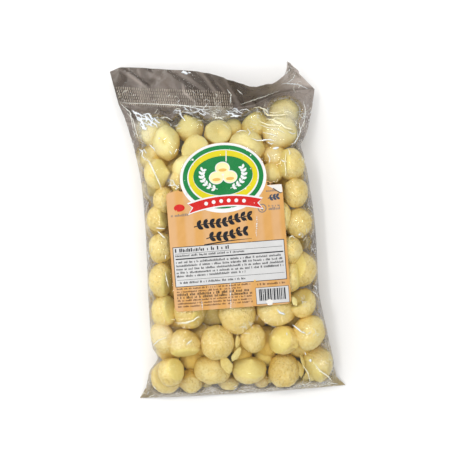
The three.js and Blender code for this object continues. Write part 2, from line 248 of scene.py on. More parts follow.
# %% [markdown]
# ## The puffs that show
# No two baked puffs are alike: they are egg-shaped or squat, and their bases face every way. So each one that
# shows gets a row of its own, with its three half sizes, its turn in plan, its kind, the way its base faces
# and a spin about it. The settled ones stay where the sticker or the upper layer hides them.

# %% Puffs: the ones that show
DOWN = (0, 0, -1)
SEEN_PUFFS = [  # x, y, z, three half sizes, turn in degrees, kind, where the base faces, spin
    (-52.3, 91.8, 17.5, 13.7, 12.4, 12.6, -6, "ball", DOWN, 0),
    (-43.7, 81.6, 28.6, 11.4, 15.1, 12.8, 2, "navel", (-0.09, 0.06, 0.99), 0),
    (-24.5, 92.9, 21.3, 12.4, 12.8, 12.2, -6, "cone", (-0.2, 0.88, 0.42), 0.3),
    (-20.3, 72.5, 32.2, 12.2, 13.8, 12.6, -6, "dish", (-0.21, 0.47, 0.86), 0),
    (-1.2, 86.0, 25.6, 11.9, 11.1, 11.1, -6, "dish", (0.11, 0.09, 0.99), 0.4),
    (11.5, 88.7, 19.8, 8.3, 8.7, 8.2, -6, "ball", DOWN, 1),
    (20.3, 71.1, 31.3, 16.2, 15.0, 14.8, -6, "ball", DOWN, 2),
    (30.6, 89.3, 20.3, 12.4, 13.2, 12.4, -6, "dome", (-0.44, 0.88, -0.21), 0),
    (55.2, 98.8, 18.3, 12.8, 11.2, 11.6, -6, "dome", (-0.08, -0.87, 0.49), 0),
    (49.3, 81.8, 27.1, 14.7, 14.7, 14.3, -6, "ball", DOWN, 3),
    (43.2, 61.8, 28.1, 10.6, 9.8, 9.9, -6, "ball", DOWN, 1),
    (54.6, 54.0, 35.9, 11.7, 13.3, 12.1, -6, "dome", (-0.86, 0.19, 0.47), 0),
    (56.5, 31.1, 35.8, 10.2, 12.9, 11.2, -6, "ball", DOWN, 5),
    (56.2, 6.4, 34.2, 11.9, 12.5, 11.8, -6, "ball", DOWN, 0),
    (44.4, 12.4, 37.4, 7.2, 12.5, 9.6, -6, "ball", DOWN, 1),
    (47.5, -14.6, 37.3, 10.5, 11.7, 10.7, -6, "ball", DOWN, 4),
    (55.3, -31.0, 31.6, 12.6, 15.0, 13.4, -6, "crack", (-0.59, 0.31, 0.74), 0),
    (46.2, -36.3, 37.3, 9.3, 12.9, 10.7, -6, "dome", (0.98, 0.07, 0.16), 0),
    (52.4, -58.2, 34.3, 13.3, 12.9, 12.7, -6, "dish", (-0.43, 0.75, 0.5), 0),
    (31.7, -62.8, 33.9, 16.6, 12.5, 14.1, -9, "ball", DOWN, 2),
    (56.6, -82.7, 33.3, 13.4, 15.0, 13.7, -26, "ball", DOWN, 3),
    (34.6, -86.1, 35.1, 13.3, 12.1, 12.3, -6, "cone", (-0.68, 0.28, 0.67), 0.8),
    (11.1, -83.2, 30.4, 11.1, 12.8, 11.6, -6, "ball", DOWN, 0),
    (0.0, -62.2, 33.2, 15.8, 16.6, 14.8, -6, "ball", DOWN, 4),
    (-37.0, -57.1, 32.0, 14.6, 14.2, 14.0, -6, "dome", (0.82, -0.42, 0.4), 0),
    (-18.3, -83.7, 33.6, 14.6, 15.1, 14.4, -6, "ball", DOWN, 1),
    (-44.6, -82.2, 34.3, 13.7, 12.5, 12.7, -6, "dome", (0.03, -0.92, 0.4), 0),
    (-61.3, -75.9, 32.0, 10.0, 14.2, 11.8, 19, "ball", DOWN, 5),
    (-58.7, -54.2, 32.0, 11.4, 13.4, 12.0, -6, "dome", (0.81, 0.15, 0.57), 0),
    (-58.5, -28.8, 34.0, 10.5, 14.2, 12.0, -6, "dome", (0.85, -0.3, 0.44), 0),
    (-56.0, -3.0, 34.8, 10.5, 12.7, 11.2, -6, "ball", DOWN, 2),
    (-56.1, 20.5, 34.7, 9.5, 11.7, 10.3, -6, "dome", (0.89, 0.24, 0.38), 1),
    (-50.5, 35.4, 36.4, 8.5, 11.3, 9.6, -6, "ball", DOWN, 4),
    (-53.0, 56.7, 35.9, 11.9, 13.1, 12.1, -6, "cone", (0.92, -0.03, 0.39), 2),
    (-36.1, 49.3, 38.4, 7.6, 10.1, 8.6, -6, "ball", DOWN, 5),
    (-63.0, -110.0, 15.4, 13.6, 14.4, 13.6, -18, "hollow", (0.30, 0.36, 0.88), 0),
    (-58.0, -104.2, 30.2, 11.0, 12.2, 11.2, -6, "crack", (0.62, 0.30, 0.72), 1),
    (-24.8, -106.8, 24.6, 15.8, 12.1, 13.5, -10, "ball", DOWN, 0),
    (5.5, -109.0, 24.2, 14.8, 12.7, 13.3, -6, "cone", (0.2, 0.75, 0.64), 1.2),
    (34.2, -113.1, 20.6, 13.6, 15.1, 13.9, -6, "ball", DOWN, 3),
    (62.1, -110.9, 20.0, 13.2, 15.7, 14.0, 4, "dome", (-0.71, -0.43, 0.55), 0),
    (-42.9, -115.6, 14.6, 11.4, 10.4, 10.4, -6, "ball", DOWN, 2),
    (-12.4, -120.6, 11.8, 9.6, 6.6, 7.5, -6, "ball", DOWN, 3),
    (15.2, -121.2, 10.8, 7.6, 6.7, 6.9, -6, "ball", DOWN, 1),
]
seen_sizes = np.array([row[:7] for row in SEEN_PUFFS], float)
print(f"half sizes from {seen_sizes[:, 3:6].min()} to {seen_sizes[:, 3:6].max()} mm")

# %% Puffs: the ones behind them
HIDDEN_PLUMPNESS = 1.10
HIDDEN_FROM, HIDDEN_TO = -112, 86  # nothing lies beyond these y but the puffs that show
HIDDEN_FLOOR, HIDDEN_ROOF, HIDDEN_SIDE_ROOM = 0.2, 48.8, 1.2
UNDER_STICKER = 37  # of the upper layer, the rows from here on
GAP_PUFFS = [  # x, y, z and radius of puffs in the gaps between the others
    (-40, -97, 13, 10), (1, -97, 17, 8), (38, 48, 32, 9), (19, -101, 12, 9.5), (54, -9, 13, 9),
    (-6, 77, 13, 9), (38, 79, 12, 8), (-57, 46, 13, 8.5), (58, -97, 12, 9),
]
hidden_puffs = np.concatenate([puffs[:LOWER], GAP_PUFFS, puffs[LOWER + UNDER_STICKER :]])
hidden_puffs = hidden_puffs[(hidden_puffs[:, 1] > HIDDEN_FROM) & (hidden_puffs[:, 1] < HIDDEN_TO)]
hidden_x, hidden_y, hidden_z, hidden_radius = hidden_puffs.T
plump_radius = hidden_radius * HIDDEN_PLUMPNESS
hidden_z[:] = np.clip(hidden_z, plump_radius + HIDDEN_FLOOR, HIDDEN_ROOF - plump_radius)
side_room = plump_radius + HIDDEN_SIDE_ROOM
west, east = along(LEFT_EDGE, hidden_y), along(RIGHT_EDGE, hidden_y)
hidden_x[:] = np.clip(hidden_x, west + side_room, east - side_room)
round_sizes = np.column_stack([hidden_puffs[:, :3]] + [plump_radius] * 3 + [np.zeros(len(hidden_puffs))])
all_puffs = np.concatenate([seen_sizes, round_sizes])
print(f"{len(SEEN_PUFFS)} puffs show and {len(hidden_puffs)} lie behind them or under the sticker")

# %% [markdown]
# ## The film's height
# Film pulled over the puffs touches their tops and spans the dips in between, like a soap skin. So its height
# is kept on a grid with one value a millimetre: each value moves to the mean of its neighbours, but never
# below a puff. Doing every second grid point at a time, as on a chessboard, lets numpy work on whole arrays.

# %% Film: height grids
grid_x, grid_y = np.arange(-92.0, 93.0), np.arange(-138.0, 123.0)
plan_x, plan_y = np.meshgrid(grid_x, grid_y)
TIGHTENING_STEPS, OVER_RELAXATION = 400, 1.85
FILM_GAP = 0.3  # from a puff to the film's middle
print(f"the grid has {plan_x.shape[0]} rows of {plan_x.shape[1]} values")


def plan_distance(puff, x, y):
    """How far out a plan position is from a puff's middle: 1 on its outline."""
    c, s = math.cos(math.radians(puff[6])), math.sin(math.radians(puff[6]))
    dx, dy = x - puff[0], y - puff[1]
    return np.hypot((dx * c + dy * s) / puff[3], (dy * c - dx * s) / puff[4])


def puff_limit(side):
    """The lowest height that a film on this side may have over each grid point."""
    limit = np.full(plan_x.shape, -1e9)
    for puff in all_puffs:
        left = 1 - plan_distance(puff, plan_x, plan_y) ** 2
        cap = side * puff[2] + puff[5] * np.sqrt(np.maximum(left, 0)) + FILM_GAP
        limit = np.where(left > 0, np.maximum(limit, cap), limit)
    return limit


# %% Film: pulled over the puffs
def draw_film(side):
    """The film's height over the grid: side is 1 for the upper sheet and -1 for the lower one."""
    limit = puff_limit(side)
    height = side * along(EDGE_HEIGHT, plan_y)
    inside = (plan_x > along(LEFT_EDGE, plan_y)) & (plan_x < along(RIGHT_EDGE, plan_y))
    inside &= (plan_y > fold_line(plan_x)) & (plan_y < along(SEAL_LINE, plan_x))
    inside[[0, -1], :] = inside[:, [0, -1]] = False
    chessboard = np.indices(plan_x.shape).sum(axis=0) % 2
    squares = [(inside & (chessboard == colour))[1:-1, 1:-1] for colour in (0, 1)]
    core = height[1:-1, 1:-1]
    for _ in range(TIGHTENING_STEPS):
        for square in squares:
            mean = (height[:-2, 1:-1] + height[2:, 1:-1] + height[1:-1, :-2] + height[1:-1, 2:]) / 4
            moved = np.clip(core + OVER_RELAXATION * (mean - core), limit[1:-1, 1:-1], limit.max())
            core[square] = moved[square]
    return height


def sample(field, x, y):
    """A grid's value at any x and y, from the four grid points around it."""
    u = np.clip(np.asarray(x, float) - grid_x[0], 0, len(grid_x) - 1.001)
    v = np.clip(np.asarray(y, float) - grid_y[0], 0, len(grid_y) - 1.001)
    i, j = u.astype(int), v.astype(int)
    u, v = u - i, v - j
    low = field[j, i] * (1 - u) + field[j, i + 1] * u
    high = field[j + 1, i] * (1 - u) + field[j + 1, i + 1] * u
    return low * (1 - v) + high * v


upper_film = draw_film(1)
lower_film = -draw_film(-1)
print(f"film from {lower_film.min():.1f} to {upper_film.max():.1f} mm high")

# %% [markdown]
# ## The sticker makes the film stiff
# Paper stuck on film won't follow every dip between two puffs: it bridges them. The highest film within a
# coin's reach, smoothed, gives the height of a stiff sheet, and most of the way to it is taken under the
# sticker. Its outline is a square sheet joined with the oval crest that rises over its upper edge.

# %% Film: the sticker's outline
LABEL_CENTRE = (-1.6, -8.0)
LABEL_WIDTH, LABEL_LENGTH = 92.5, 95.0
LABEL_TURN = math.radians(-1.1)
LABEL_CORNER = 3.5
CREST_CENTRE = 56.0
CREST_HALF_WIDTH, CREST_HALF_HEIGHT = 34.5, 28.0
print(f"sticker {LABEL_WIDTH} x {LABEL_LENGTH} mm, its crest {2 * CREST_HALF_WIDTH} mm wide")


def to_label(x, y):
    """Plan position to the sticker's own axes."""
    c, s = math.cos(LABEL_TURN), math.sin(LABEL_TURN)
    dx, dy = x - LABEL_CENTRE[0], y - LABEL_CENTRE[1]
    return dx * c + dy * s, dy * c - dx * s


def from_label(u, v):
    """The sticker's own axes to plan position."""
    c, s = math.cos(LABEL_TURN), math.sin(LABEL_TURN)
    return LABEL_CENTRE[0] + u * c - v * s, LABEL_CENTRE[1] + u * s + v * c


def label_depth(x, y):
    """How far inside the sticker's outline a point is; negative outside it."""
    u, v = to_label(x, y)
    sheet = np.minimum(LABEL_WIDTH / 2 - np.abs(u), LABEL_LENGTH / 2 - np.abs(v))
    oval = np.hypot(u / CREST_HALF_WIDTH, (v - CREST_CENTRE) / CREST_HALF_HEIGHT)
    return np.maximum(sheet, (1 - oval) * CREST_HALF_HEIGHT)


# %% Film: stiff under the sticker
STIFF_REACH, STIFF_SHARE, STIFF_FADE = 14, 0.75, 8.0  # reach in cells of the height grid


def smooth_step(low, high, value):
    """0 below low, 1 above high, and an even rise between them."""
    t = np.clip((value - low) / (high - low), 0, 1)
    return t * t * (3 - 2 * t)


def disc(field, reach, merge):
    """Merges each grid value with those within reach of it."""
    made = field.copy()
    for j in range(-reach, reach + 1):
        for i in range(-reach, reach + 1):
            if 0 < i * i + j * j <= reach * reach:
                made = merge(made, np.roll(field, (j, i), axis=(0, 1)))
    return made


def disc_mean(field, reach):
    """The mean of the grid values within reach."""
    return disc(field, reach, np.add) / disc(np.ones_like(field), reach, np.add)


def closed(field, reach):
    """The field with its dips filled, where they are narrower than twice the reach."""
    return disc(disc(field, reach, np.maximum), reach, np.minimum)


stiff_film = disc_mean(disc(upper_film, STIFF_REACH, np.maximum), STIFF_REACH)
label_share = smooth_step(-STIFF_FADE, 0, label_depth(plan_x, plan_y))
upper_film += STIFF_SHARE * label_share * np.maximum(stiff_film - upper_film, 0)
print(f"the sticker lies {sample(upper_film, *LABEL_CENTRE):.1f} mm above the table")

# %% [markdown]
# ## A puff
# Baked cheese breads are blown up from inside: a round porous dome, and where each one sat on the tray, a
# smooth base with a sharp rim. Some bases are sucked in like a dish, some puffs have a pinched navel, a crack
# with a raised flap, or have fallen in. A cube blown up to a sphere gives quads of one size all over, without
# poles. Every feature then moves the surface in or out, so one function makes all the kinds.


# %% Puffs: a sphere without poles
def cube_sphere(cells):
    """Unit directions and quads of a sphere blown up from a cube."""
    steps = np.tan(np.linspace(-math.pi / 4, math.pi / 4, cells + 1))
    index, points, faces = {}, [], []
    for axis in range(3):
        for side in (-1.0, 1.0):
            grid = np.empty((cells + 1, cells + 1), int)
            for j, v in enumerate(steps):
                for i, u in enumerate(steps):
                    point = [0.0, 0.0, 0.0]
                    point[axis], point[(axis + 1) % 3], point[(axis + 2) % 3] = side, u, v
                    key = tuple(round(value, 6) for value in point)
                    grid[j, i] = index.setdefault(key, len(points))
                    if grid[j, i] == len(points):
                        points.append(point)
            for j in range(cells):
                for i in range(cells):
                    quad = [grid[j, i], grid[j, i + 1], grid[j + 1, i + 1], grid[j + 1, i]]
                    faces.append(quad if side > 0 else quad[::-1])
    points = np.array(points)
    return points / np.linalg.norm(points, axis=1)[:, None], faces


WAVES = 20


def lumps(points, size, seed):
    """Smooth random values, mostly from -1 to 1, with lumps of about this size: a sum of waves."""
    rng = np.random.default_rng(seed)
    way = rng.normal(size=(WAVES, points.shape[1]))
    way *= rng.uniform(0.6, 1.5, (WAVES, 1)) / np.linalg.norm(way, axis=1)[:, None]
    phase = rng.uniform(0, 6.28, WAVES)
    return np.sin(points @ way.T * (2 * math.pi / size) + phase).sum(axis=1) / math.sqrt(WAVES)


print("a sphere of 2 cells a side has", len(cube_sphere(2)[0]), "points")


# %% Puffs: the kinds
PUFF_KINDS = {  # base height, base bulge (in is negative), navel, crack, hollow
    "ball": (-2.0, 0.0, 0.0, 0.0, 0.0),
    "dome": (-0.52, 0.20, 0.0, 0.0, 0.0),
    "dish": (-0.42, -0.38, 0.0, 0.0, 0.0),
    "cone": (-0.20, 0.76, 0.0, 0.0, 0.0),
    "navel": (-2.0, 0.0, 0.34, 0.0, 0.0),
    "crack": (-0.62, 0.10, 0.0, 0.09, 0.0),
    "hollow": (-0.40, -0.10, 0.0, 0.05, 0.55),
}
POCKS = 70  # small dents in each crust
PLAIN_RADIUS = 0.955  # leaves room for lumps and rims
LIP, LIP_WIDTH = 0.035, 0.05  # the sharp rim round a base
NAVEL_WIDTH, PLEATS = 0.42, 9
CRACK_AXIS, CRACK_OFFSET, CRACK_WIDTH = (0.80, 0.35, -0.48), 0.15, 0.03
CRACK_MIDDLE, CRACK_REACH = (0.5, 0.2, -0.6), 0.9
CUP_MIDDLE, CUP_REACH = (0.15, 0.1, -1), 0.80  # where a hollow puff has fallen in
print("kinds of puff:", ", ".join(PUFF_KINDS))


# %% Puffs: the shape of one
def near(directions, pole, width):
    """1 at the pole, falling smoothly to 0 at this angle in radians from it."""
    pole = np.array(pole, float) / np.linalg.norm(pole)
    return 1 - smooth_step(0, width, np.arccos(np.clip(directions @ pole, -1, 1)))


def puff_shape(kind, seed, cells):
    """Points of a puff of radius 1, its faces, and how much each point belongs to the smooth base."""
    base_height, bulge, navel, crack, hollow = PUFF_KINDS[kind]
    way, faces = cube_sphere(cells)
    outward, bearing = np.hypot(way[:, 0], way[:, 1]), np.arctan2(way[:, 1], way[:, 0])
    rng = np.random.default_rng(seed)
    reach = PLAIN_RADIUS + 0.034 * lumps(way, 1.7, seed) + 0.020 * lumps(way, 0.75, seed + 1)
    reach += 0.007 * lumps(way, 0.25, seed + 6)
    for _ in range(POCKS):
        pole, width = rng.normal(size=3), rng.uniform(0.07, 0.17)
        reach -= 0.10 * width * near(way, pole, width) * rng.uniform(0.3, 1.0)
    base = np.zeros(len(way))
    flat = np.where(way[:, 2] < -0.05, base_height / np.minimum(way[:, 2], -0.05), 9.0)
    cut = flat < reach
    if cut.any():
        rim = math.sqrt(1 - base_height**2)
        out = np.clip(flat * outward / rim, 0, 1)
        lift = bulge * (1 - out**2) ** (0.8 if bulge > 0 else 1.3)
        end = flat * (1 - lift / base_height)
        if kind == "cone":
            end = (bulge - base_height) / (bulge / rim * outward - way[:, 2])
        reach = np.where(cut, np.minimum(reach, end), reach)
        base = smooth_step(-0.01, 0.05, 1.0 - flat + 0.02 * lumps(way, 0.5, seed + 2))
        reach += LIP * np.exp(-(((flat - 1.0) / LIP_WIDTH) ** 2))
    reach -= navel * near(way, DOWN, NAVEL_WIDTH) ** 1.4
    spokes = np.sin(bearing * PLEATS + 2 * lumps(way, 1.2, seed + 3))
    reach += 0.03 * (navel > 0) * spokes * near(way, DOWN, 0.7) * (1 - near(way, DOWN, 0.3))
    line = way @ np.array(CRACK_AXIS) - CRACK_OFFSET + 0.05 * lumps(way, 0.9, seed + 4)
    strip = crack * near(way, CRACK_MIDDLE, CRACK_REACH)
    flap, slit = np.tanh(line / CRACK_WIDTH) * 0.5 + 0.5, np.exp(-((line / CRACK_WIDTH) ** 2))
    reach += strip * flap - 0.6 * strip * slit
    cup = near(way, CUP_MIDDLE, CUP_REACH)
    reach -= hollow * smooth_step(0.10, 0.65, cup) * (1 + 0.16 * np.sin(3.5 * bearing + 9 * outward))
    base = np.maximum(base, smooth_step(0.1, 0.4, cup) * (hollow > 0) * 0.9)
    return way * np.minimum(reach, 1.0)[:, None], faces, base


print("a coarse dome has", len(puff_shape("dome", 1, 6)[0]), "points")

# %% [markdown]
# ## Meshes from arrays
# Every piece ends as a plain mesh at the origin with its place in its points. One small function does that,
# and it can carry named numbers along, such as how much of a puff is smooth base, for a material to read.


# %% Helper: arrays to a mesh
def make_mesh(name, points, faces, numbers=None):
    """A smooth-shaded mesh from points in metres, with a float attribute for each entry of numbers."""
    mesh = bpy.data.meshes.new(name)
    mesh.from_pydata(np.asarray(points).tolist(), [], [list(map(int, face)) for face in faces])
    mesh.shade_smooth()
    for key, values in (numbers or {}).items():
        mesh.attributes.new(key, "FLOAT", "POINT").data.foreach_set("value", np.asarray(values, np.float32))
    return mesh


def make_piece(name, mesh, material=None):
    """An object for a mesh, in the scene."""
    piece = bpy.data.objects.new(name, mesh)
    bpy.context.scene.collection.objects.link(piece)
    if material:
        mesh.materials.clear()
        mesh.materials.append(material)
    return piece


# %% [markdown]
# ## Scattering with Geometry Nodes
# Puffs, crumbs and the teeth of the seal are all the same job: put one of several small shapes on each point
# of a cloud, turned and sized as that point says. One node tree does it for all of them. A point carries its
# shape's number, its turn and its size as named attributes, so nothing is left to chance. The tree ends with
# real geometry and a material, which the modifier's result then keeps as a plain mesh.


# %% Helper: the scatter tree
def scatter_tree():
    """Points in, shapes out, from a collection of shapes and a material."""
    tree = bpy.data.node_groups.new("scatter shapes", "GeometryNodeTree")
    for name, kind in (("Points", "Geometry"), ("Shapes", "Collection"), ("Finish", "Material")):
        tree.interface.new_socket(name, in_out="INPUT", socket_type="NodeSocket" + kind)
    tree.interface.new_socket("Result", in_out="OUTPUT", socket_type="NodeSocketGeometry")
    new, link = tree.nodes.new, tree.links.new
    inputs, output = new("NodeGroupInput"), new("NodeGroupOutput")
    shapes = new("GeometryNodeCollectionInfo")
    shapes.inputs["Separate Children"].default_value = True
    shapes.inputs["Reset Children"].default_value = True
    link(inputs.outputs["Shapes"], shapes.inputs["Collection"])
    named = {}
    for key, kind in (("kind", "INT"), ("turn", "FLOAT_VECTOR"), ("size", "FLOAT_VECTOR")):
        named[key] = new("GeometryNodeInputNamedAttribute")
        named[key].data_type = kind
        named[key].inputs["Name"].default_value = key
    place = new("GeometryNodeInstanceOnPoints")
    place.inputs["Pick Instance"].default_value = True
    for key, source in (
        ("Points", inputs.outputs["Points"]), ("Instance", shapes.outputs["Instances"]),
        ("Instance Index", named["kind"].outputs["Attribute"]),
        ("Rotation", named["turn"].outputs["Attribute"]), ("Scale", named["size"].outputs["Attribute"]),
    ):
        link(source, place.inputs[key])
    real, finish = new("GeometryNodeRealizeInstances"), new("GeometryNodeSetMaterial")
    link(place.outputs["Instances"], real.inputs["Geometry"])
    link(real.outputs["Geometry"], finish.inputs["Geometry"])
    link(inputs.outputs["Finish"], finish.inputs["Material"])
    link(finish.outputs["Geometry"], output.inputs["Result"])
    return tree


SCATTER = scatter_tree()
print("the scatter tree has", len(SCATTER.nodes), "nodes")


# %% Helper: scatter shapes over points
def triangles(mesh):
    """How many triangles a mesh has."""
    return sum(len(face.vertices) - 2 for face in mesh.polygons)


def scatter(name, places, kinds, turns, sizes, meshes, material):
    """A piece with one of the meshes on each place (mm), turned by Euler angles and sized (mm) as given."""
    shelf = bpy.data.collections.new(name + " shapes")
    bpy.context.scene.collection.children.link(shelf)
    for number, mesh in enumerate(meshes):
        shelf.objects.link(bpy.data.objects.new(f"{name}_shape_{number:03d}", mesh))
    cloud = bpy.data.meshes.new(name + " places")
    cloud.from_pydata(((np.asarray(places) + SHIFT) * MM).tolist(), [], [])
    cloud.attributes.new("kind", "INT", "POINT").data.foreach_set("value", np.asarray(kinds, np.int32))
    for key, values in (("turn", turns), ("size", np.asarray(sizes) * MM)):
        attribute = cloud.attributes.new(key, "FLOAT_VECTOR", "POINT")
        attribute.data.foreach_set("vector", np.asarray(values, np.float32).ravel())
    tone = np.random.default_rng(len(places)).random(len(places)).astype(np.float32)
    cloud.attributes.new("tone", "FLOAT", "POINT").data.foreach_set("value", tone)
    piece = make_piece(name, cloud)
    modifier = piece.modifiers.new("scatter", "NODES")
    modifier.node_group = SCATTER
    for key, value in (("Shapes", shelf), ("Finish", material)):
        modifier[SCATTER.interface.items_tree[key].identifier] = value
    evaluated = piece.evaluated_get(bpy.context.evaluated_depsgraph_get())
    result = bpy.data.meshes.new_from_object(evaluated)
    piece.modifiers.clear()
    piece.data = result
    result.name = name
    for shape in list(shelf.objects):
        bpy.data.objects.remove(shape)
    bpy.data.collections.remove(shelf)
    print(f"{name}: {len(places)} shapes, {triangles(result):,} triangles")
    return piece


# %% [markdown]
# ## Materials in a few words
# A material is a tree of nodes. A small class keeps the tree, adds a node, links the inputs that are given as
# sockets and sets the others, so each finish below reads as a short list. All patterns hang on object
# coordinates or on an attribute of the mesh, so they stay where they are when the camera moves.


# %% Helper: a finish and its nodes
class Finish:
    """A material and its node tree, with a short word for each kind of node."""

    def __init__(self, name):
        self.material = bpy.data.materials.new(name)
        self.material.use_nodes = True
        self.tree = self.material.node_tree
        self.tree.nodes.clear()
        self.coordinates = self.node("TexCoord")
        self.place = self.coordinates.outputs["Object"]

    def node(self, kind, inputs=None, **settings):
        """Adds a node with these settings, and links or sets its inputs; a colour may lack its alpha."""
        made = self.tree.nodes.new("ShaderNode" + kind)
        for key, value in settings.items():
            setattr(made, key, value)
        for key, value in (inputs or {}).items():
            if isinstance(value, bpy.types.NodeSocket):
                self.tree.links.new(value, made.inputs[key])
            else:
                is_short_colour = made.inputs[key].type == "RGBA" and len(value) == 3
                made.inputs[key].default_value = (*value, 1) if is_short_colour else value
        return made

    def number(self, name):
        """A mesh attribute."""
        return self.node("Attribute", attribute_name=name).outputs["Fac"]

    def sum_of(self, a, b, operation="ADD", clamp=False):
        """One sum on two sockets or numbers."""
        return self.node("Math", {0: a, 1: b}, operation=operation, use_clamp=clamp).outputs[0]

    def times(self, a, b, clamp=False):
        """A product."""
        return self.sum_of(a, b, "MULTIPLY", clamp)

    def mixed(self, share, a, b, way="MIX"):
        """A colour between two."""
        return self.node("Mix", {0: share, 6: a, 7: b}, data_type="RGBA", blend_type=way).outputs[2]

    def ramp(self, value, low, high):
        """0 to 1 as the value goes from low to high."""
        return self.node("MapRange", {"Value": value, "From Min": low, "From Max": high}).outputs["Result"]

    def noise(self, scale, detail=2.0, output="Fac", **more):
        """Clouds with this many features a metre."""
        inputs = {"Vector": self.place, "Scale": scale, "Detail": detail}
        return self.node("TexNoise", inputs | more).outputs[output]

    def bump(self, height, strength, distance):
        """Normals that show this relief."""
        return self.node("Bump", {"Height": height, "Strength": strength, "Distance": distance}).outputs[0]

    def shader(self, kind, **inputs):
        """A shader; underscores in the inputs' names stand for spaces."""
        named = {key.replace("_", " "): value for key, value in inputs.items()}
        return self.node("Bsdf" + kind, named).outputs[0]

    def blend(self, share, first, second):
        """One shader laid over another."""
        return self.node("MixShader", {0: share, 1: first, 2: second}).outputs[0]

    def done(self, shader):
        """Puts the shader on the surface and returns the material."""
        self.node("OutputMaterial", {"Surface": shader})
        return self.material


print("words:", ", ".join(word for word in vars(Finish) if not word.startswith("_")))

# %% [markdown]
# ## The baked crust
# The dome is pale and matt, with pores the size of a pinhead and a little gold where it is thin. The base is
# smoother and yellower. Light goes a few millimetres into the crumb, so the shadows between puffs are warm:
# subsurface scattering gives some of that, and a painted golden glow, stronger the lower a point lies in the
# heap, gives more. Towards the seal the puffs are painted paler, in part for the film's glare over them.
# Pores and grains are a bump, for they are finer than the mesh.


# %% Crust
def crust_material(name, depth):
    """Pale porous crust: base smoother, tone paler (partly painted glare), deep golden; depth lets in light.
    """
    paint = Finish(name)
    base, tone, deep = paint.number("base"), paint.number("tone"), paint.number("deep")
    cloud = paint.noise(110.0, 5.0, Roughness=0.65)
    patch = paint.noise(45.0)
    grain = paint.noise(750.0, 3.0)
    wrinkle = paint.noise(210.0, 4.0, Distortion=1.5)
    pores = paint.node("TexVoronoi", {"Vector": paint.place, "Scale": 420.0}).outputs["Distance"]
    pits = paint.ramp(pores, 0.10, 0.32)
    colour = paint.mixed(paint.ramp(cloud, 0.35, 0.65), (0.79, 0.615, 0.195), (0.835, 0.71, 0.33))
    colour = paint.mixed(paint.times(paint.ramp(patch, 0.52, 0.72), 0.45), colour, (0.77, 0.55, 0.13))
    mottled = paint.mixed(paint.ramp(wrinkle, 0.40, 0.60), (0.72, 0.52, 0.15), (0.90, 0.77, 0.40))
    colour = paint.mixed(0.45, colour, mottled)
    colour = paint.mixed(paint.times(base, 0.55), colour, (0.785, 0.685, 0.19))
    # tone: a random real paleness, and near the seal also a painted glare
    colour = paint.mixed(paint.times(tone, 0.75), colour, (0.89, 0.85, 0.45))
    smooth = paint.sum_of(paint.times(base, 0.8), paint.times(tone, 0.75), "MAXIMUM")
    rough = paint.sum_of(1.0, smooth, "SUBTRACT")
    dots = paint.times(paint.ramp(grain, 0.60, 0.72), paint.times(rough, 0.4))
    colour = paint.mixed(dots, colour, (0.54, 0.35, 0.08))
    darker = paint.mixed(paint.times(rough, 0.32), colour, (0.50, 0.31, 0.06))
    colour = paint.mixed(pits, darker, colour)
    # painted glow: low in the heap the colour is painted golden, less so on the smooth base
    golden = paint.times(deep, paint.sum_of(0.85, paint.times(base, 0.6), "SUBTRACT"))
    colour = paint.mixed(golden, colour, (0.75, 0.52, 0.095))
    relief = paint.sum_of(paint.times(pits, 0.5), paint.times(grain, 0.5))
    relief = paint.sum_of(relief, paint.times(wrinkle, 1.6))
    return paint.done(paint.shader(
        "Principled", Base_Color=colour, Roughness=paint.sum_of(0.78, paint.times(base, 0.26), "SUBTRACT"),
        Normal=paint.bump(relief, paint.times(rough, 0.75), 0.0012), Specular_IOR_Level=0.35,
        Subsurface_Weight=depth, Subsurface_Radius=(1.0, 0.9, 0.6), Subsurface_Scale=0.0015,
    ))


CRUST = crust_material("baked crust", 0.3)
FLAKE_CRUST = crust_material("thin crust", 0.0)
print("finishes:", CRUST.name, FLAKE_CRUST.name, sep="\n")

# %% [markdown]
# ## Turning and placing the puffs
# Each puff is made with its base below, and then turned so that the base faces where it should. The lower a
# point lies in the heap, the more often its light has passed through other puffs, and the more golden it is
# painted: a painted glow in the shadows between puffs. So each point also gets its depth, measured from a
# sheet laid over the puffs with the dips filled.


# %% Puffs: turning
PAINTED_GLOW_DEPTH = 10.0  # painted glow: a point this far down between puffs is painted fully golden, as if lit through them
DIP_REACH = 10  # in cells of the height grid
LOWEST = 0.25
puff_tops = closed(np.maximum(puff_limit(1), 0), DIP_REACH)
print(f"the sheet over the puffs reaches {puff_tops.max():.1f} mm")


def turned(direction, spin):
    """The matrix that spins a shape about its own axis and then turns its underside to a direction."""
    from_below = Vector(DOWN).rotation_difference(Vector(direction).normalized())
    return from_below.to_matrix() @ Matrix.Rotation(spin, 3, "Z")


def lift_off_table(piece):
    """Presses a piece flat where it would reach below the film; notes each point's painted glow from its
    depth.
    """
    places = np.empty(len(piece.data.vertices) * 3)
    piece.data.vertices.foreach_get("co", places)
    places[2::3] = np.maximum(places[2::3], LOWEST * MM)
    piece.data.vertices.foreach_set("co", places)
    x, y, z = (places.reshape(-1, 3) / MM - SHIFT).T
    below = np.clip((sample(puff_tops, x, y) - z - 1.0) / PAINTED_GLOW_DEPTH, 0, 1)
    piece.data.attributes.new("deep", "FLOAT", "POINT").data.foreach_set("value", below.astype(np.float32))


# %% Puffs: the ones that show, one by one
ROUND_CELLS, RIM_CELLS = 16, 21


def seen_puff(row, seed):
    """Points in millimetres, faces and base numbers of one puff of the table."""
    x, y, z, wide, long, high, turn, kind, direction, spin = row
    points, faces, base = puff_shape(kind, seed, ROUND_CELLS if kind == "ball" else RIM_CELLS)
    about = np.array(Matrix.Rotation(math.radians(turn), 3, "Z"))
    stretch = about @ np.diag([wide, long, high]) @ about.T
    points = points @ (stretch @ np.array(turned(direction, spin))).T + (x, y, z)
    return points, faces, base


def join(parts):
    """Points, faces and numbers of several shapes as one."""
    points, faces, numbers = [], [], []
    for part_points, part_faces, part_numbers in parts:
        start = sum(map(len, points))
        points.append(part_points)
        faces += [[start + corner for corner in face] for face in part_faces]
        numbers.append(part_numbers)
    return np.concatenate(points), faces, np.concatenate(numbers)


